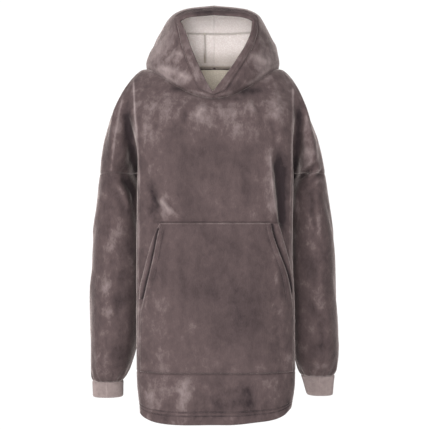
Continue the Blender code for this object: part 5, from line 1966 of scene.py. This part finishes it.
@dataclass
class Stitching:
    """Rows of lockstitch at hem, pocket and hood."""

    body: Body
    hood: Hood
    pocket: Pocket
    pitch: float = 0.0034
    length: float = 0.0027
    width: float = 0.0007

    def path(self, points: Array, normals: Array, closed: bool = False) -> tuple[Array, Array, list]:
        """A line for stitches, with its edges.

        Args:
            points: where it runs.
            normals: which way the stitches stand.
            closed: whether its end meets its start.

        Returns:
            Points, normals and edges.
        """
        count = len(points)
        edges = [(k, k + 1) for k in range(count - 1)] + ([(count - 1, 0)] if closed else [])
        return points, normals, edges

    def build_group(self, name: str, paths: list, tree: NodeTree) -> None:
        """Makes one piece of all the stitches along some lines.

        Args:
            name: the piece's name.
            paths: the lines, from path.
            tree: what lays the stitches.
        """
        points, normals, edges, first = [], [], [], 0
        for places, ways, links in paths:
            points.append(places)
            normals.append(ways)
            edges += [(a + first, b + first) for a, b in links]
            first += len(places)
        mesh = bpy.data.meshes.new(name)
        mesh.from_pydata(np.vstack(points).tolist(), edges, [])
        outwards = mesh.attributes.new("out", "FLOAT_VECTOR", "POINT")
        outwards.data.foreach_set("vector", np.vstack(normals).ravel().astype(np.float32))
        obj = make_object(name, mesh)
        make_plain(obj, tree, {"Pitch": self.pitch, "Length": self.length, "Width": self.width,
                               "Material": self.body.finishes.thread})
        declare(obj, ())

    def build(self) -> None:
        """Makes the stitches."""
        tree = stitch_tree()
        body, grid, normals = self.body, self.pocket.grid, self.pocket.grid_normals
        rings = []
        for stitch in body.hem_stitches:
            z = min(body.lower_rows, key=lambda height: abs(height - stitch))
            row = body.lower_rows[z]
            rings.append(self.path(body.outer[row], body.smooth_normals[row], closed=True))
        self.build_group("stitches_hem", rings, tree)
        sides = []
        inwards = self.column_at(self.pocket.hem_in)
        for column in (inwards, -1 - inwards):
            zs = grid[:, column, 2]
            chosen = (zs < body.pocket_top - 0.006) & (zs > body.pocket_bottom + 0.165)
            sides.append(self.path(grid[chosen, column], normals[chosen, column]))
        lines = [self.path(grid[row, 2:-2], normals[row, 2:-2]) for row in (2, -3)]
        self.build_group("stitches_pocket", lines + sides, tree)
        hood = self.hood
        line = hood.whole - hood.stitch_in
        points, ways, _ = hood.surface(np.vstack([line - 0.0002, line]))
        long_enough = hood.whole > 2.2 * hood.stitch_in
        order = np.concatenate([hood.left, hood.right[1:-1]])
        order = order[long_enough[order]]
        self.build_group("stitches_hood", [self.path(points[1][order], ways[1][order])], tree)

    def column_at(self, distance: float) -> int:
        """The pocket's column nearest a distance from its opening's edge."""
        middle = self.pocket.grid[len(self.pocket.grid) // 3]
        return int(np.argmin(np.abs(middle[:, 0] - middle[0, 0] - distance)))


@dataclass(frozen=True)
class Lamp:
    """A square soft lamp."""

    name: str
    place: tuple[float, float, float]
    size: float
    watts: float


@dataclass
class Room:
    """A plain pale room with soft light, and the camera in front."""

    lamps: tuple[Lamp, ...] = (
        Lamp("key", (-2.8, -3.6, 0.9), 1.5, 145.0),
        Lamp("front", (-0.3, -4.6, -0.5), 1.4, 205.0),
        Lamp("top", (-0.6, -0.6, 3.2), 2.0, 40.0),
    )
    aim: tuple[float, float, float] = (0.0, 0.0, -0.3)
    floor_z: float = -1.8
    floor_size: float = 40.0
    floor_colour: str = "#f4f3f2"
    backdrop_y: float = 4.6
    backdrop_top: float = 6.0
    world_strength: float = 0.52
    camera_place: tuple[float, float, float] = (0.0025, -3.0, -0.3575)
    camera_mm: float = 100.5

    def build(self) -> None:
        """Makes floor, lamps, world and camera."""
        scene = bpy.context.scene
        scene.view_settings.view_transform = "Standard"
        half = self.floor_size / 2
        y, low, high = self.backdrop_y, self.floor_z, self.backdrop_top
        for name, far, finish in (
                ("floor", [(half, half, low), (-half, half, low)],
                 FloorFinish("studio_paper", self.floor_colour)),
                ("backdrop", [(half, y, high), (-half, y, high)],
                 BackdropFinish("lit_backdrop", "#ffffff", 1.0))):
            near_y = -half if name == "floor" else y
            mesh = bpy.data.meshes.new(name)
            mesh.from_pydata([(-half, near_y, low), (half, near_y, low)] + far, [], [(0, 1, 2, 3)])
            mesh.materials.append(finish.build())
            make_object(name, mesh)
        for lamp in self.lamps:
            light = bpy.data.lights.new(lamp.name, "AREA")
            light.size, light.energy = lamp.size, lamp.watts
            obj = bpy.data.objects.new(lamp.name, light)
            scene.collection.objects.link(obj)
            obj.location = lamp.place
            obj.rotation_euler = (Vector(self.aim) - Vector(lamp.place)).to_track_quat("-Z", "Y").to_euler()
        world = bpy.data.worlds.new("studio")
        world.use_nodes = True
        background = world.node_tree.nodes["Background"]
        background.inputs["Color"].default_value = linear("#ffffff")
        background.inputs["Strength"].default_value = self.world_strength
        scene.world = world
        camera = bpy.data.objects.new("camera", bpy.data.cameras.new("camera"))
        camera.data.lens = self.camera_mm
        camera.location = self.camera_place
        camera.rotation_euler = (math.pi / 2, 0, 0)
        scene.collection.objects.link(camera)
        scene.camera = camera


def main() -> None:
    """Builds the garment's looks piece by piece."""
    logging.basicConfig(level=logging.INFO, format="%(message)s")
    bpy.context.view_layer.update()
    body = Body(Finishes())
    body.build()
    Cuffs(body).build()
    hood = Hood(body)
    hood.build()
    pocket = Pocket(body)
    pocket.build()
    Stitching(body, hood, pocket).build()
    for cut in CUTS:
        cut.state()
    Room().build()


if __name__ == "__main__":
    main()
